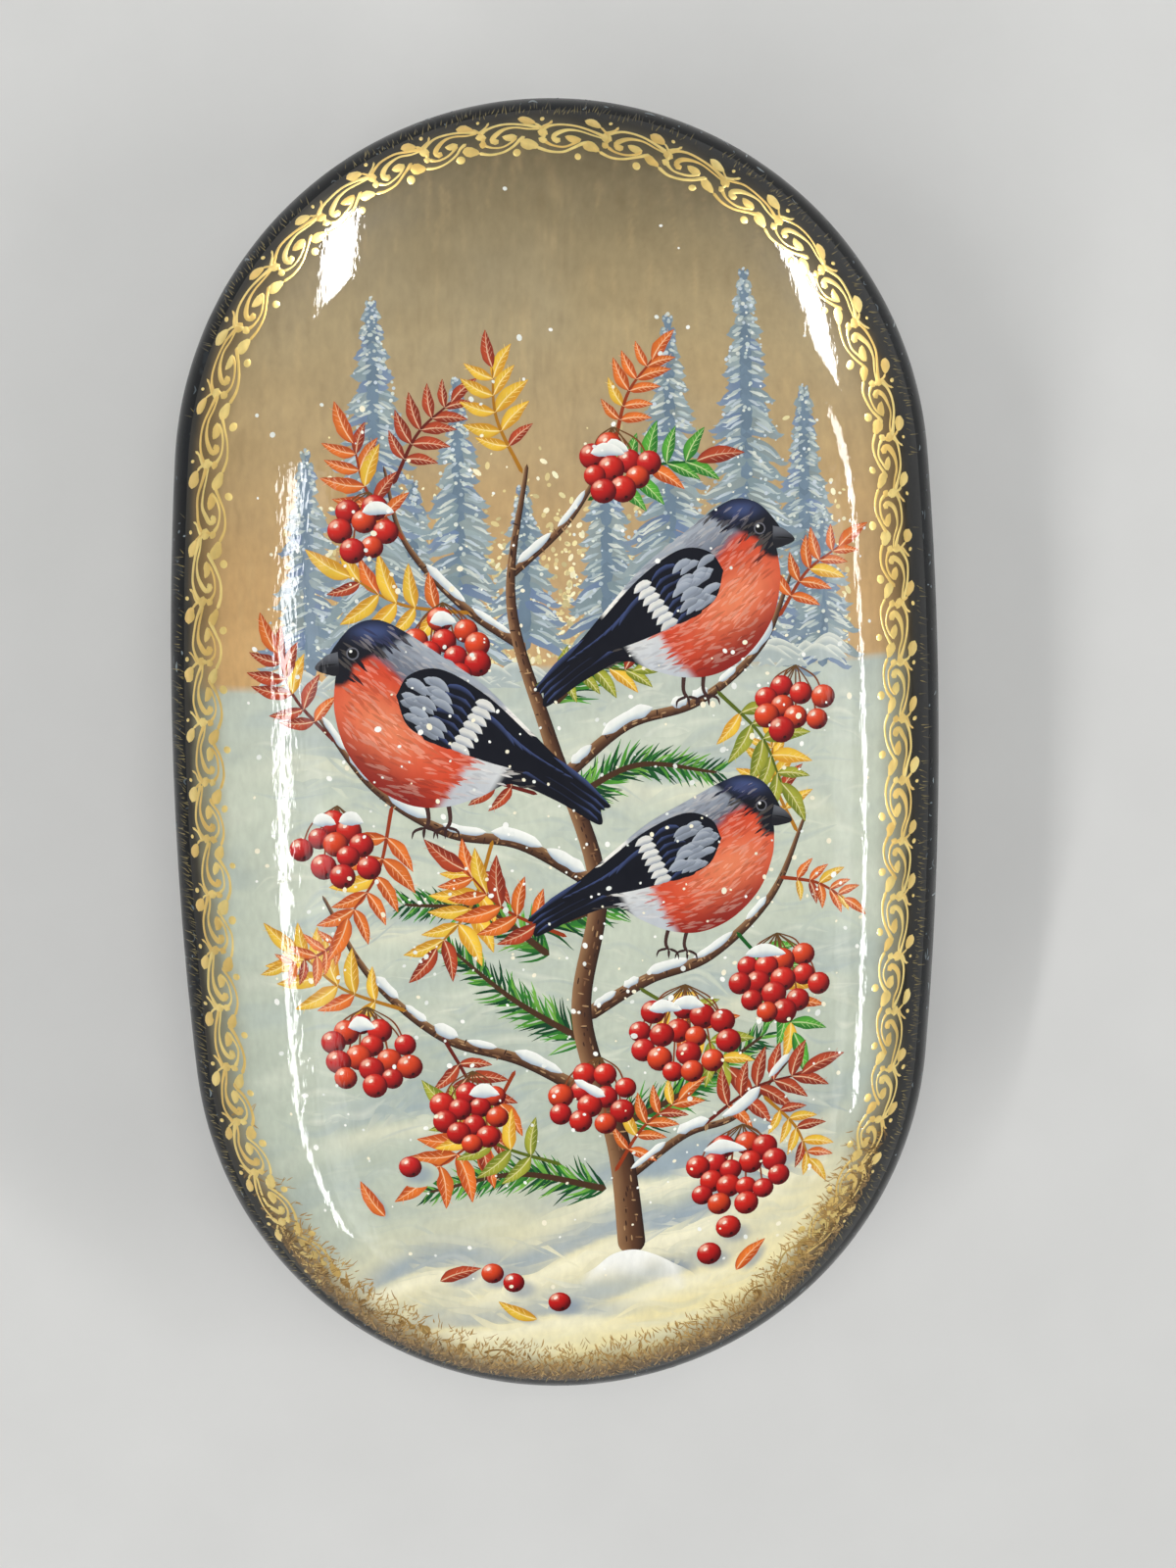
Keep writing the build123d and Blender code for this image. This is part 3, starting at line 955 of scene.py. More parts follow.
def rim_wear_and_painted_glints(wear, hand):
    """Small chips and rubbed spots in the black rim, in pale blue-greys that are partly a painted
    reflection of light off the chipped lacquer.
    """
    wear.coat()
    # Pale blue-greys: the chips' own lightness with a painted reflection in it
    tones = srgbs((66, 78, 84), (92, 106, 112), (48, 58, 64), (122, 134, 138))
    for _ in range(190):
        run = hand.uniform(0, ROUND_LENGTH)
        inset = hand.uniform(0.25, 2.1)
        length = hand.choice([0.15, 0.25, 0.4, 0.9]) * hand.uniform(0.6, 1.3)
        drift = np.array([0, hand.gauss(0, 0.12), hand.gauss(0, 0.2)])
        path = beside_edge(run + np.array([0, 0.5, 1]) * length, np.clip(inset + drift, 0.2, None))
        width = hand.uniform(0.08, 0.3)
        wear.stroke(path, [width * 0.5, width, width * 0.4], [hand.choice(tones)], step=0.2)


border_hand = random.Random(7)
lay_on(rim_wear_and_painted_glints, border_hand)
lay_on(rim_hatching, border_hand)
lay_on(gold_border, border_hand, gold_paint)
lay_on(bottom_scrub, border_hand)


# The picture: bullfinches in a snowy rowan, with frosted firs behind. How far in from the
# outline its parts stay:
GLOW_INSET = 11
SNOW_INSET = 8.8
LEAF_INSET = 9.4
FLAKE_INSET = 9.5


def varied(tone, hand, spread=0.1):
    """A tone made a little lighter or darker by chance."""
    return np.clip(tone * hand.uniform(1 - spread, 1 + spread), 0, 1)


def turned(points, angle, x=0.0, y=0.0, size=1.0, flip=1):
    """Points turned by an angle, scaled and moved. flip -1 mirrors them first."""
    points = np.asarray(points, dtype=float) * [flip, 1] * size
    c, s = math.cos(angle), math.sin(angle)
    return points @ np.array([[c, s], [-s, c]]) + [x, y]


def shadow(layers, x, y, size, long, turn):
    """The soft shadow of a thing that lies on the snow."""
    def tones(places):
        right, up = places[..., 0] - x, places[..., 1] - y
        along = (right * math.cos(turn) + up * math.sin(turn)) / long
        across = up * math.cos(turn) - right * math.sin(turn)
        depth = ramp(1.0, 0.3, np.hypot(along, across) / (size / 2))
        snow = ground_colours(places.reshape(-1, 2)).reshape(*places.shape[:2], 3)
        return blend(snow, srgb(118, 136, 160), 0.6 * depth[..., None])

    layers.dot(x, y, size, tones, long, turn, across=11)


# The firs from back to front: x, foot, height and width
FIRS = [(-4, 15, 17, 9), (5, 15, 21, 10), (-16, 13, 20, 10), (27, 13, 30, 11),
        (-27.5, 12, 24, 11), (12, 14, 36, 13), (-11, 13.5, 30, 11), (-20, 12.5, 40, 15),
        (20.5, 13, 42, 15), (29, 12.5, 17, 9)]
FIR_TONES = srgbs((128, 146, 150), (112, 132, 148), (146, 160, 160), (106, 126, 156),
                  (138, 150, 148))
FROST_TONES = srgbs((198, 208, 202), (222, 226, 214), (176, 190, 194), (204, 214, 220))
GLOW_TONES = srgbs((240, 226, 168), (226, 206, 146), (206, 190, 138), (250, 240, 200))


def frosted_fir(layers, hand, x, foot, height, width):
    """One fir as drooping strokes from the foot up, then the frost on them."""
    layers.coat()
    rows, boughs = int(height / 0.9), []
    for k in range(rows):
        share = k / rows
        y = foot + height * (0.04 + 0.96 * share) + hand.uniform(-0.3, 0.3)
        reach = width / 2 * (1 - share) ** 0.85 * hand.uniform(0.6, 1.15) + 0.3
        heart = varied(FIR_TONES[1], hand)
        layers.dot(x, y - 0.5, min(1.4, reach + 0.3), [heart], 1.8, 1.57, 3)
        for side in (-1, 1):
            drop = reach * hand.uniform(0.3, 0.6)
            droop = np.array([(0, 0), (0.55, -0.5), (0.85, -1), (1.05, -0.95)])
            bough = droop * [side * reach, drop] + [x, y]
            tone = varied(hand.choice(FIR_TONES), hand)
            tip = blend(tone, FROST_TONES[2], 0.3)
            layers.stroke(bough, [0.9, 1.3, 1.0, 0.2], [tone, tip], step=0.5)
            boughs += [bough, bough]
    layers.coat()
    for bough in boughs:
        lower = (bough[2] - bough[0]) * hand.uniform(0.05, 0.5)
        part = bough[0] + (bough - bough[0]) * 0.5 + lower
        tone = varied(hand.choice(FROST_TONES), hand, 0.06)
        layers.stroke(part + [hand.uniform(-0.2, 0.2), hand.uniform(0, 0.5)],
                      [0.1, 0.34, 0.26, 0.06], [blend(tone, FIR_TONES[0], 0.4), tone], step=0.5)
    for _ in range(int(height * width / 3)):
        share = hand.random() ** 1.3
        reach = width / 2 * (1 - share) ** 0.85
        spot = (x + hand.uniform(-1, 1) * reach, foot + height * share)
        size = hand.uniform(0.2, 0.5)
        layers.dot(*spot, size, [varied(hand.choice(FROST_TONES), hand)], across=3)


def frosted_firs(layers, hand):
    """A line of firs under frost at the far edge of the snow, with a low gold glow behind."""
    layers.coat()
    for _ in range(2600):
        x, y = hand.uniform(-30, 32), 12.5 + abs(hand.gauss(0, 1)) * 8
        if inset_at(x, y) > GLOW_INSET:
            tone = varied(hand.choice(GLOW_TONES), hand)
            size = hand.uniform(0.18, 0.6)
            layers.dot(x, y, size, [tone], hand.uniform(1, 2), hand.uniform(0, 3), 3)
    for fir in FIRS:
        frosted_fir(layers, hand, *fir)


def snow_brushwork(layers, hand):
    """Soft strokes that model the drifts, and a bank of snow at the foot of the firs."""
    layers.coat()
    for _ in range(1000):
        x, y = hand.uniform(-34, 34), hand.uniform(-66, 12)
        length = hand.uniform(2, 11) * (0.5 if y > 6 else 1)
        angle = 0.3 * math.sin(x / 11 + y / 9) + 0.2 * float(noise(x, y, 16, 101))
        angle += 0.15 if y < -35 else 0
        bow = hand.uniform(-0.1, 0.16) * length
        path = turned([(-length / 2, -bow), (0, bow), (length / 2, -bow)], angle, x, y)
        near_edge = inset_and_way(path[:, 0], path[:, 1])[0].min() < SNOW_INSET
        if near_edge or path[:, 1].max() > HORIZON:
            continue
        start, middle, end = ground_colours(path)
        light = hand.random() < 0.58
        tone = srgb(246, 244, 224) if light else srgb(146, 164, 176)
        tone = blend(middle, tone, hand.uniform(0.06, 0.4 if y > -40 else 0.18))
        table = [[start] * 3, [middle, tone, blend(middle, tone, 0.3)],
                 [end, blend(end, tone, 0.5), end]]
        width = hand.uniform(0.25, 1.3)
        layers.stroke(path, [0.1, width, width, 0.1], table, across=5, step=0.5)
    for _ in range(80):
        x, length = hand.uniform(-33, 33), hand.uniform(2.5, 7)
        y = 11.5 + 0.05 * x + hand.uniform(-0.9, 0.8)
        left, right = (x - length / 2, y - 0.5), (x + length / 2, y - 0.5)
        path = [left, (x, y + hand.uniform(0.2, 0.9)), right]
        if min(inset_at(*left), inset_at(*right)) > SNOW_INSET:
            top, low = varied(srgb(226, 228, 214), hand, 0.05), srgb(180, 190, 186)
            layers.stroke(path, [0.2, 1.5, 0.2], [[top, low, low]], across=5)
    layers.coat(free=False)
    shadow(layers, 11.4, -56.9, 3.0, 2.6, -0.25)


# The rowan's branches, with the stem first: their paths, and their widths along them
BRANCHES = [
    ([(7, -55), (5.5, -42), (1.5, -27), (3.5, -12), (-1.5, 4), (-5.5, 19), (-3.5, 34)],
     [3.2, 2.6, 2.2, 2.0, 1.6, 1.1, 0.4]),
    ([(4, -37), (-5, -32), (-14, -29), (-22, -22), (-27, -13)], [1.7, 1.3, 1.1, 0.8, 0.35]),
    ([(2, -27), (9, -23), (16, -20.5), (23, -14), (27, -5)], [1.7, 1.3, 1.1, 0.8, 0.35]),
    ([(3, -12), (-5, -7.5), (-13, -6), (-21, -1), (-27, 7)], [1.6, 1.3, 1.1, 0.8, 0.35]),
    ([(0, 0), (7, 5.5), (15, 8), (22, 14), (25.5, 22)], [1.5, 1.2, 1.0, 0.8, 0.35]),
    ([(-4, 14), (-11, 19), (-17, 26), (-19, 34)], [1.1, 0.9, 0.6, 0.3]),
    ([(-5.5, 22), (1, 28), (6, 36)], [0.9, 0.7, 0.3]),
    ([(6, -46), (13, -41), (19, -39), (25, -33)], [1.2, 0.9, 0.7, 0.3]),
]
# Berry clusters: x, y, spread and count
CLUSTERS = [(-22, -31, 4.6, 17), (-11, -38, 4.2, 15), (13, -30, 5.4, 22), (24, -24, 4.8, 18),
            (19, -46, 5.0, 19), (-25, -8, 4.2, 14), (26, 7, 3.8, 12), (-13, 14, 4.4, 16),
            (6, 33, 4.0, 14), (-21, 27, 3.4, 10), (3, -37, 4.4, 15)]
# Fallen berries: x, y
LOOSE = [(-9, -57), (-6.6, -58.2), (-1.4, -60.8), (15.8, -55.6), (18, -52.4), (-18, -44)]
# Each leaf kind's lit and shaded tones, and the leaves: x, y, turn, length and kind
LEAF_TONES = {"orange": srgbs((232, 120, 44), (178, 66, 26)),
              "amber": srgbs((244, 200, 66), (206, 138, 34)),
              "rust": srgbs((190, 74, 40), (122, 38, 26)),
              "green": srgbs((92, 176, 58), (30, 108, 40)),
              "olive": srgbs((176, 176, 60), (104, 120, 34))}
LEAVES = [(-6, -33, -2.2, 17, "orange"), (-18, -26, 2.7, 15, "amber"),
          (-24, -17, -2.6, 13, "orange"), (-14, -29, -1.2, 14, "rust"),
          (8, -24, -0.7, 15, "olive"), (19, -18, -1.0, 15, "green"), (26, -7, 1.9, 12, "amber"),
          (24, -12, -0.3, 12, "orange"), (-8, -7, -2.0, 15, "amber"),
          (-19, -3, -1.9, 15, "orange"), (-25, 4, 2.2, 13, "rust"), (17, 9, -0.9, 14, "olive"),
          (24, 17, 0.9, 12, "orange"), (-10, 18, 2.9, 15, "amber"),
          (-17, 26, 2.1, 13, "orange"), (-18, 32, 1.0, 12, "rust"), (3, 30, 0.4, 14, "green"),
          (-4, 33, 1.9, 13, "amber"), (6, 36, 1.2, 11, "orange"), (15, -40, 0.5, 14, "rust"),
          (22, -37, -0.9, 13, "amber"), (0, -18, 2.6, 15, "orange"),
          (-1, -44, 2.7, 15, "olive"), (-3, 10, 0.2, 12, "olive"), (5, -45, 0.9, 12, "orange"),
          (-3, -2, 2.7, 12, "rust")]
FALLEN = [(-15, -58, 0.4, "rust"), (-4, -63, 2.7, "amber"), (19, -58, 0.9, "orange"),
          (-21, -50, 2.2, "orange")]
FALLEN_LENGTH = 5.0
TWIGS = [[(-3, -17), (6, -14), (15, -9)], [(0, -3), (8, 1), (17, 0)], [(-1, 8), (5, 13), (13, 14)],
         [(2, -30), (-6, -25), (-13, -19)], [(5, -40), (13, -36), (22, -30)],
         [(-2, -20), (-9, -15), (-18, -14)], [(4, -47), (-6, -45), (-16, -47)]]


def fir_twigs(layers, hand):
    """Green fir twigs behind the rowan."""
    greens = srgbs((30, 92, 40), (52, 130, 46), (88, 168, 54), (20, 68, 38), (126, 190, 72))
    for path in TWIGS:
        layers.coat()
        line = smooth_path(path, 0.34)[0]
        way = np.gradient(line, axis=0)
        heading = np.arctan2(way[:, 1], way[:, 0])
        for k in range(len(line)):
            for side in (-1, 1):
                angle = heading[k] + side * hand.uniform(0.45, 0.95)
                length = hand.uniform(3.0, 4.6) * (1 - 0.45 * k / len(line))
                bend = (length / 2, hand.uniform(-0.1, 0.1) * length)
                needle = turned([(0, 0), bend, (length, 0)], angle, *line[k])
                tone = varied(hand.choice(greens), hand, 0.15)
                tones = [blend(tone, greens[3], 0.5), tone]
                layers.stroke(needle, [0.34, 0.3, 0.06], tones, step=0.8)
        layers.coat()
        layers.stroke(path, [0.8, 0.6, 0.3], [srgb(74, 48, 30)])


def rowan_branches(layers, hand):
    """The rowan's stem and branches, in browns from the lit side to the shaded one."""
    lit, middle, dark = srgbs((156, 116, 80), (98, 64, 42), (44, 28, 24))
    bark = srgbs((178, 140, 98), (60, 38, 30), (128, 90, 60))
    for path, widths in BRANCHES[::-1]:
        heads_right = path[-1][0] > path[0][0] or path is BRANCHES[0][0]
        tones = [lit, middle, dark] if heads_right else [dark, middle, lit]
        layers.coat()
        layers.stroke(path, widths, [tones], across=7)
        layers.coat()
        line = smooth_path(path, 0.4)[0]
        for k in range(2, len(line) - 2):
            width = np.interp(k / len(line), np.linspace(0, 1, len(widths)), widths)
            if width > 0.7 and hand.random() < 0.75:
                shift = np.array([hand.uniform(-0.32, 0.32), hand.uniform(-0.32, 0.32)]) * width
                turn = math.atan2(*(line[k + 1] - line[k])[::-1]) + hand.choice([0, 0, 1.4])
                tone = hand.choice(bark)
                layers.dot(*(line[k] + shift), 0.18, [tone], hand.uniform(2, 5), turn, 3)


def leaflet(layers, x, y, turn, length, tones, hand):
    """One pointed leaflet with a lit half and a shaded half."""
    light, deep = (varied(tone, hand, 0.12) for tone in tones)
    half, low = blend(light, deep, 0.35), blend(light, deep, 0.7)
    table = [[deep, half, light, low, deep], [half, light, light, deep, low],
             [deep, half, light, low, deep]]
    saw = [length * 0.34 * share * hand.uniform(0.9, 1.1)
           for share in (0.15, 0.62, 0.92, 1.0, 0.96, 0.82, 0.6, 0.34, 0.04)]
    bend = length * np.array([(0, 0), (0.35, 0.03), (0.7, 0.0), (1, -0.06)])
    layers.stroke(turned(bend, turn, x, y), saw, table, across=7)


def leaflet_veins(layers, x, y, turn, length, tones):
    """A leaflet's pale rib and veins."""
    pale = blend(tones[0], srgb(255, 244, 200), 0.5)
    bend = length * np.array([(0, 0), (0.33, 0.03), (0.66, 0.0), (0.95, -0.06)])
    layers.stroke(turned(bend, turn, x, y), [0.16, 0.12, 0.04], [pale], step=0.6)
    for k in range(4, 12):
        root = turned([(length * k / 14, 0)], turn, x, y)[0]
        vein = turned([(0, 0), (length * 0.13, (k % 2 - 0.5) * length * 0.2)], turn, *root)
        layers.stroke(vein, [0.09, 0.03], [blend(pale, tones[0], 0.4)], step=0.4)


def leaf_parts(x, y, turn, size):
    """A rowan leaf's stem, and the place, turn and length of each leaflet."""
    stem = turned([(0, 0), (size * 0.5, size * 0.05), (size * 0.9, -size * 0.06)], turn, x, y)
    line = smooth_path(stem, 0.3)[0]
    parts = []
    for k, share in enumerate(np.linspace(0.28, 0.92, 5)):
        spot = line[int(share * (len(line) - 1))]
        for side in (-1, 1):
            angle = turn + side * (1.15 - 0.1 * k)
            parts.append((*spot, angle, size * (0.36 - 0.03 * abs(k - 2))))
    return stem, parts + [(*line[-1], turn - 0.15, size * 0.36)]


def tip_inset(x, y, turn, length):
    """How far in from the outline a leaflet's tip is."""
    return inset_at(x + length * math.cos(turn), y + length * math.sin(turn))


def rowan_leaves(layers, hand):
    """The rowan's feathered leaves in orange, amber, rust and green, all inside the border,
    and a few fallen ones."""
    kinds = list(LEAF_TONES)
    for x, y, turn, size, kind in LEAVES:
        stem, parts = leaf_parts(x, y, turn, size)
        while min(tip_inset(*part) for part in parts) < LEAF_INSET:
            size *= 0.95
            stem, parts = leaf_parts(x, y, turn, size)
        parts = [(px, py, angle + hand.uniform(-0.15, 0.15), length * hand.uniform(0.85, 1.1),
                  LEAF_TONES[kind if hand.random() < 0.8 else kinds[hand.randrange(3)]])
                 for px, py, angle, length in parts]
        layers.coat()
        layers.stroke(stem, [0.45, 0.35, 0.2], [LEAF_TONES[kind][1] * 0.7])
        for part in parts:
            leaflet(layers, *part, hand)
        layers.coat()
        for part in parts:
            leaflet_veins(layers, *part)
    for x, y, turn, kind in FALLEN:
        layers.coat(free=False)
        under = (x + 2.5 * math.cos(turn) + 0.6, y + 2.5 * math.sin(turn) - 0.6)
        shadow(layers, *under, 2.2, 2.4, turn)
        leaflet(layers, x, y, turn, FALLEN_LENGTH, LEAF_TONES[kind], hand)
        layers.coat()
        leaflet_veins(layers, x, y, turn, FALLEN_LENGTH, LEAF_TONES[kind])


BERRY_TONES = srgbs((214, 36, 24), (198, 26, 22), (228, 70, 30), (206, 30, 28))


def berry(layers, hand, x, y):
    """One berry with its glint and the dark tuft at its tip."""
    base, size = hand.choice(BERRY_TONES), hand.uniform(2.4, 3.0)
    dark, light = srgb(84, 8, 14), srgb(255, 196, 166)
    layers.ball(x, y, size, dark, base, light, hand.uniform(0.94, 1.0))
    layers.dot(x - 0.45, y + 0.55, 0.36, [srgb(255, 232, 214)], 1.5, 0.7, 3)
    layers.dot(x + 0.35, y - 0.85, 0.34, [srgb(52, 8, 10)], 1.2, 0.4, 3)


def rowan_berries(layers, hand):
    """Hanging clusters of red berries on fine stalks, and a few fallen on the snow."""
    for x, y, spread, count in CLUSTERS:
        spots = []
        for _ in range(count * 40):
            angle, far = hand.uniform(0, 2 * math.pi), math.sqrt(hand.random()) * spread
            spot = (x + far * math.cos(angle), y + far * math.sin(angle) * 0.8)
            if len(spots) < count and all(math.dist(spot, other) > 1.9 for other in spots):
                spots.append(spot)
        hub = (x + hand.uniform(-1, 1), y + spread + 0.9)
        layers.coat()
        for spot in spots:
            bow = (hub[0] + (spot[0] - hub[0]) * 0.7, (hub[1] + spot[1]) / 2 + 0.4)
            layers.stroke([hub, bow, spot], [0.13, 0.2, 0.2], srgbs((96, 70, 36), (150, 70, 38)))
        layers.coat(free=False)
        for spot in sorted(spots, key=lambda spot: -spot[1]):
            berry(layers, hand, *spot)
    for x, y in LOOSE:
        shadow(layers, x + 0.9, y - 0.9, 3.1, 1.5, 0.1)
    for x, y in LOOSE:
        berry(layers, hand, x, y)


SNOW_LIT, SNOW, SNOW_SHADE = srgbs((255, 254, 246), (236, 238, 230), (160, 178, 194))
MOUND = [(0.4, -57.9), (2.6, -56.6), (4.6, -55.0), (7.0, -54.5), (9.2, -55.1), (11.4, -56.3),
         (14.2, -58.3), (12.0, -60.2), (7.5, -61.2), (2.8, -60.0)]


def mound_tone(x, y):
    """The snow heaped at the foot of the rowan, which fades into the drift below it."""
    below = -54.4 - 0.045 * (x - 7) ** 2 + 0.8 * noise(x, y, 2.6, 107) - y
    fade = np.maximum(ramp(0.2, 4.6, below), ramp(3.6, 6.4, np.abs(x - 7.2)))
    return wash(SNOW_LIT, ground_colours(np.stack([x, y], 1)), fade)


def branch_snow(layers, hand):
    """Snow that lies along the branches and on the berries."""
    for path, widths in BRANCHES[1:]:
        line = smooth_path(path, 0.5)[0]
        line = line if line[-1][0] > line[0][0] else line[::-1]
        k = 2
        while k < len(line) - 6:
            piece = line[k:k + hand.randint(5, 14)]
            k += len(piece) + hand.randint(0, 3)
            rise, across = np.abs(piece[-1] - piece[0])[::-1]
            if len(piece) > 3 and rise < 1.6 * across:
                widest = hand.uniform(0.8, 1.6)
                bulge = [0.2] + [widest * hand.uniform(0.7, 1.05) for _ in range(4)] + [0.25]
                layers.stroke(piece + [0, 0.45 + widest * 0.25], bulge,
                              [[SNOW_LIT, SNOW, SNOW_SHADE]], across=5)
    layers.patch(MOUND, mound_tone, 0.4)
    for x, y, spread, count in CLUSTERS:
        for _ in range(hand.choice([0, 1, 1, 2])):
            wide, high = spread * hand.uniform(0.5, 1.1), spread * hand.uniform(0.62, 0.9)
            side = hand.uniform(-0.4, 0.4) * spread
            path = [(x + side - wide / 2, y + high - 0.5), (x + side, y + high - 0.1),
                    (x + side + wide / 2, y + high - 0.6)]
            bulge = [0.3, 1.2, hand.uniform(1.5, 1.9), hand.uniform(1.2, 1.7), 0.9, 0.3]
            layers.stroke(path, bulge, [[SNOW_LIT, SNOW, SNOW_SHADE]], across=7)


# A bird that faces left, about its own middle, and the birds: x, y, turn, size and flip
BIRD_OUTLINE = [(-11.6, 5.0), (-10.4, 7.0), (-8.6, 8.9), (-6.2, 9.5), (-3.6, 8.4), (0.5, 5.6),
                (4.4, 2.8), (8.0, -0.8), (12.0, -5.0), (17.0, -9.6), (16.2, -10.2),
                (16.0, -11.8), (11.6, -9.2), (7.2, -7.4), (4.0, -8.6), (0.5, -9.6),
                (-3.2, -9.4), (-6.8, -7.4), (-9.6, -3.8), (-10.7, 0.2), (-10.6, 3.0),
                (-10.5, 4.3)]
WING_OUTLINE = [(-4.4, 1.8), (-3.0, 3.9), (0.2, 4.4), (4.6, 1.8), (9.0, -2.4), (13.6, -7.2),
                (9.6, -6.4), (5.0, -5.2), (0.4, -3.4), (-3.2, -1.4)]
BEAK_OUTLINE = [(-10.2, 6.3), (-11.4, 5.9), (-12.6, 4.7), (-11.6, 4.1), (-10.2, 4.0)]
INK, SHEEN, SLATE = srgbs((16, 18, 28), (66, 80, 124), (146, 154, 166))
BLACK_FEATHER = [SHEEN, INK, INK]
BIRDS = [(-13.5, 7.2, 0.0, 1.08, 1), (13.5, 20.2, 0.05, 1.0, -1), (13.0, -8.6, -0.12, 0.95, -1)]


def plumage(u, v):
    """The bird's colours by place on its body."""
    along, across = 0.82 * u - 0.57 * v, 0.57 * u + 0.82 * v
    tone = wash(srgb(140, 30, 24), srgb(214, 66, 36), ramp(-9.5, -5.0, across))
    glow = np.exp(-((along + 4) ** 2 / 30 + (across + 4.2) ** 2 / 9))
    tone = wash(tone, srgb(246, 148, 104), glow * 0.75)
    grey = wash(srgb(96, 104, 120), srgb(170, 176, 184), ramp(0, 5.5, across))
    tone = wash(tone, grey, ramp(0.2, 1.4, across + 0.3 * np.sin(along)))
    white = wash(srgb(196, 200, 204), srgb(246, 242, 232), ramp(-6, 4, across))
    tone = wash(tone, white, ramp(4.6, 5.8, along))
    tone = wash(tone, INK, ramp(8.4, 9.2, along))
    cap = np.maximum(ramp(-0.3, 0.5, v - 3.4 - 0.54 * (u + 11)) * (u < -2.6),
                     ramp(1.9, 1.3, np.hypot(u + 10.3, v - 4.4)))
    gloss = wash(INK, SHEEN, np.exp(-((u + 6.6) ** 2 / 4 + (v - 8.3) ** 2 / 0.7)))
    return wash(tone, gloss, cap)


def beak_tone(u, v):
    """The beak, paler along its top."""
    return wash(srgb(26, 26, 32), srgb(96, 98, 104), ramp(4.6, 6.0, v))


def bullfinch(layers, hand, x, y, turn, size, flip):
    """One bird, from its feet to its eye. Its own places are for a bird that faces left."""
    def draw(points, widths, tones, across=5, step=0.4):
        tones = [row[::flip] if isinstance(row, list) else row for row in tones]
        path = turned(points, turn, x, y, size, flip)
        layers.stroke(path, np.array(widths) * size, tones, across, step)

    def fill(points, tone_at, spacing):
        def at_place(px, py):
            c, s = math.cos(turn), math.sin(turn)
            right, up = (px - x) * c + (py - y) * s, (py - y) * c - (px - x) * s
            return tone_at(right * flip / size, up / size)
        layers.patch(turned(points, turn, x, y, size, flip), at_place, spacing)

    def feather(u0, v0, u1, v1, width, tones):
        draw([(u0, v0), ((u0 + u1) / 2 + 0.1, (v0 + v1) / 2 + 0.25), (u1, v1)],
             [width * 0.6, width, width * 0.85, width * 0.25], [tones])

    def feather_row(count, first, step, width):
        for k in range(count):
            feather(*(np.array(first) + k * np.array(step)), width, BLACK_FEATHER)

    for foot in (-1.6, 0.6):
        leg = [(foot, -9.0), (foot + 0.2, -11.0), (foot - 0.3, -12.0)]
        draw(leg, [0.5, 0.42, 0.36], [srgb(70, 44, 40)])
        for toe in (-1.3, -0.3, 0.9):
            path = [(foot - 0.2, -11.7), (foot + toe, -12.1), (foot + toe * 1.2, -12.9)]
            draw(path, [0.34, 0.3, 0.12], [srgb(60, 38, 36)])
    fill(BIRD_OUTLINE, plumage, 0.32)
    layers.coat()
    for _ in range(900):
        u, v = hand.uniform(-11, 9), hand.uniform(-9, 9)
        heading = -0.62 + 0.02 * (u + 4) + (0.25 if v < -4 else 0) + hand.uniform(-0.2, 0.2)
        length = hand.uniform(0.8, 2.0)
        end = (u + length * math.cos(heading), v + length * math.sin(heading))
        if inside(BIRD_OUTLINE, u - 0.3, v + 0.2) and inside(BIRD_OUTLINE, *end):
            tone = plumage(np.array([u]), np.array([v]))[0]
            other = srgb(255, 236, 214) if hand.random() < 0.55 else srgb(60, 22, 24)
            tone = varied(blend(tone, other, 0.16 if tone.sum() > 0.1 else 0.06), hand)
            path = [(u, v), ((u + end[0]) / 2, (v + end[1]) / 2 + 0.05), end]
            draw(path, [0.12, 0.3, 0.05], [tone], 3, 0.5)
    layers.coat(free=False)
    feather_row(4, (8.2, -6.3, 15.9, -11.4), (0.3, 0.8, 0.35, 0.55), 1.3)
    fill(WING_OUTLINE, lambda u, v: np.tile(INK, (len(u), 1)), 0.5)
    feather_row(8, (2.0, -3.3, 13.4, -7.0), (0.2, 0.5, -0.85, 0.5), 1.15)
    for k in range(7):
        u, v = 0.9 + 0.45 * k, -3.3 + 0.72 * k
        tone = varied(srgb(226, 224, 216), hand, 0.08)
        feather(u, v, 2.9 + 0.45 * k, -4.4 + 0.72 * k, 1.0, [tone, tone, SLATE])
    feather_row(7, (-1.9, -2.2, 1.1, -3.7), (0.42, 0.8, 0.42, 0.8), 1.15)
    for k in range(26):
        u, v = -4.3 + 3.6 * (k / 25), hand.uniform(-1.4, 3.6)
        if inside(WING_OUTLINE, u + 0.4, v - 0.4):
            tone = varied(SLATE, hand, 0.16)
            tones = [blend(tone, srgb(210, 214, 218), 0.4), tone, tone * 0.7]
            feather(u, v, u + 2.1, v - 1.4, 0.9, tones)
    fill(BEAK_OUTLINE, beak_tone, 0.2)
    draw([(-12.4, 4.75), (-11.4, 4.95), (-10.3, 5.05)], [0.1, 0.14, 0.08], [srgb(10, 10, 12)], 3)
    eye = turned([(-8.7, 6.1)], turn, x, y, size, flip)[0]
    layers.dot(*eye, 1.3 * size, [srgb(104, 104, 112)], across=7)
    layers.dot(*eye, 1.0 * size, [srgb(8, 7, 9)], across=7)
    layers.dot(eye[0] - 0.2, eye[1] + 0.25, 0.36, [srgb(250, 248, 240)], across=3)


def bullfinches(layers, hand):
    """The birds that sit in the rowan."""
    for bird in BIRDS:
        bullfinch(layers, hand, *bird)


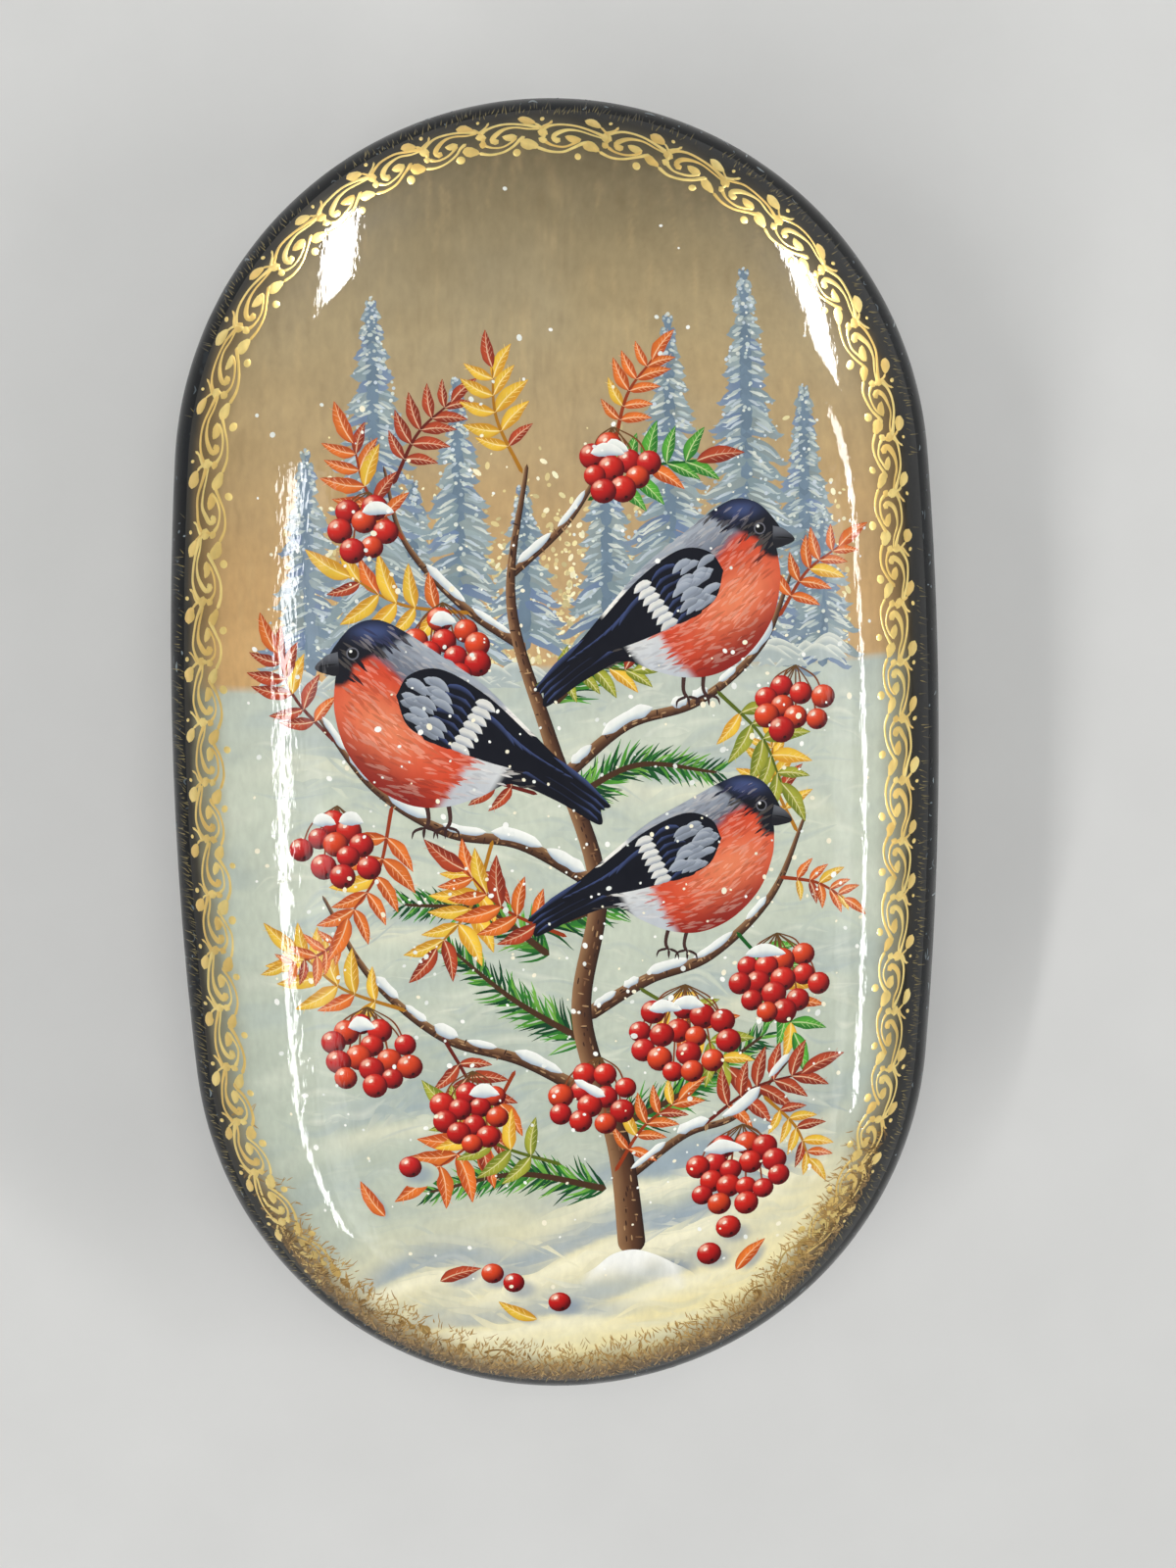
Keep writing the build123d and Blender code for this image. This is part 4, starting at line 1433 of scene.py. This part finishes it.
def falling_snow(layers, hand):
    """Flakes in the air, none of them on a bird's head."""
    layers.coat()
    heads = [(x - 9.5 * flip * size, y + 5.5 * size) for x, y, turn, size, flip in BIRDS]
    for _ in range(520):
        x, y = hand.uniform(-35, 35), hand.gauss(-8, 30)
        near_head = min(math.dist((x, y), head) for head in heads) < 4
        if abs(y) < 68 and inset_at(x, y) > FLAKE_INSET and not near_head:
            size = hand.choice([0.22, 0.26, 0.32, 0.4, 0.55]) * hand.uniform(0.8, 1.25)
            tone = hand.choice([SNOW_LIT, SNOW, srgb(250, 242, 214)])
            layers.dot(x, y, size, [tone], hand.uniform(1, 1.3), hand.uniform(0, 3), 3)


# The picture's pieces of paint from back to front, each with a seed of its own
for draw, seed in ((frosted_firs, 21), (snow_brushwork, 22), (fir_twigs, 23), (rowan_branches, 24),
                   (rowan_leaves, 25), (rowan_berries, 26), (branch_snow, 28), (bullfinches, 27),
                   (falling_snow, 29)):
    lay_on(draw, random.Random(seed))


# Camera, floor and light, in metres

def camera():
    """The camera, at the photograph's angle and distance."""
    data = bpy.data.cameras.new("camera")
    data.lens = 49.95
    data.sensor_width = 36.0
    data.clip_start = 0.01
    thing = in_scene("camera", data)
    turn = Matrix.Rotation(-0.021, 4, "Z") @ Matrix.Rotation(-0.116, 4, "X")
    turn = turn @ Matrix.Rotation(-0.055, 4, "Y")
    thing.matrix_world = Matrix.Translation((-0.010, 0.027, 0.280)) @ turn
    bpy.context.scene.camera = thing


def studio_floor():
    """A plain pale floor that the box stands on."""
    reach = 1.5
    corners = [(-reach, -reach, 0), (reach, -reach, 0), (reach, reach, 0), (-reach, reach, 0)]
    mesh = bpy.data.meshes.new("studio_floor")
    mesh.from_pydata(corners, [], [(0, 1, 2, 3)])
    nodes = Nodes("studio_floor", Roughness=0.8)
    mottle = nodes.spots(60, 0.3, 0.8)
    nodes.into(nodes.mix(mottle, (214, 213, 210), (218, 217, 214)), "Base Color")
    mesh.materials.append(nodes.material)
    thing = in_scene("studio_floor", mesh)
    # A hair under the box, so that no two faces lie in one plane
    thing.location.z = -0.00005


# Long soft lights that face the box: start, end, width and radiance, whether they light matte
# surfaces, and whether they show in reflections
LIGHTS = {
    "soft_key": ((-0.25, 0.15, 0.9), (0.25, 0.15, 0.9), 0.4, 5.2, True, False),
    "strip_left": ((-0.362, 0.11, 0.64), (-0.5, -0.6, 0.64), 0.034, 30, True, True),
    "veil_left": ((-0.31, 0.10, 0.64), (-0.36, -0.6, 0.64), 0.05, 2.5, False, True),
    "strip_right": ((0.65, 0.1, 0.64), (0.88, -0.42, 0.64), 0.05, 30, True, True),
    "strip_end": ((0.5, 0.155, 0.64), (0.65, 0.085, 0.64), 0.035, 30, False, True),
    "veil_right": ((0.45, 0.08, 0.64), (0.6, -0.5, 0.64), 0.08, 2.5, False, True),
    "panel_left": ((-0.302, 0.324, 0.518), (-0.377, 0.548, 0.181), 0.085, 48, False, True),
    "panel_right": ((0.498, 0.242, 0.517), (0.517, 0.498, 0.256), 0.11, 44, False, True),
}


def soft_light(name, start, end, width, radiance, matte, gloss):
    """One long soft light."""
    start, end = Vector(start), Vector(end)
    middle, along = (start + end) / 2, end - start
    back = (middle - Vector((0, 0, 0.04))).normalized()
    side = (along - back * back.dot(along)).normalized()
    data = bpy.data.lights.new(name, "AREA")
    data.shape = "RECTANGLE"
    data.size, data.size_y = along.length, width
    data.energy = radiance * math.pi * along.length * width
    thing = in_scene(name, data)
    turn = Matrix((side, back.cross(side), back)).transposed()
    thing.matrix_world = Matrix.Translation(middle) @ turn.to_4x4()
    thing.visible_camera = False
    thing.visible_diffuse = matte
    thing.visible_glossy = gloss


def studio():
    """Soft light from all round, and soft panels whose reflections lie along the lid."""
    world = bpy.data.worlds.new("studio")
    world.use_nodes = True
    background = next(n for n in world.node_tree.nodes if n.type == "BACKGROUND")
    background.inputs["Color"].default_value = (0.9, 0.96, 1.0, 1)
    background.inputs["Strength"].default_value = 0.2
    bpy.context.scene.world = world
    for name, settings in LIGHTS.items():
        soft_light(name, *settings)
    bpy.context.scene.view_settings.view_transform = "Standard"


camera()
studio_floor()
studio()
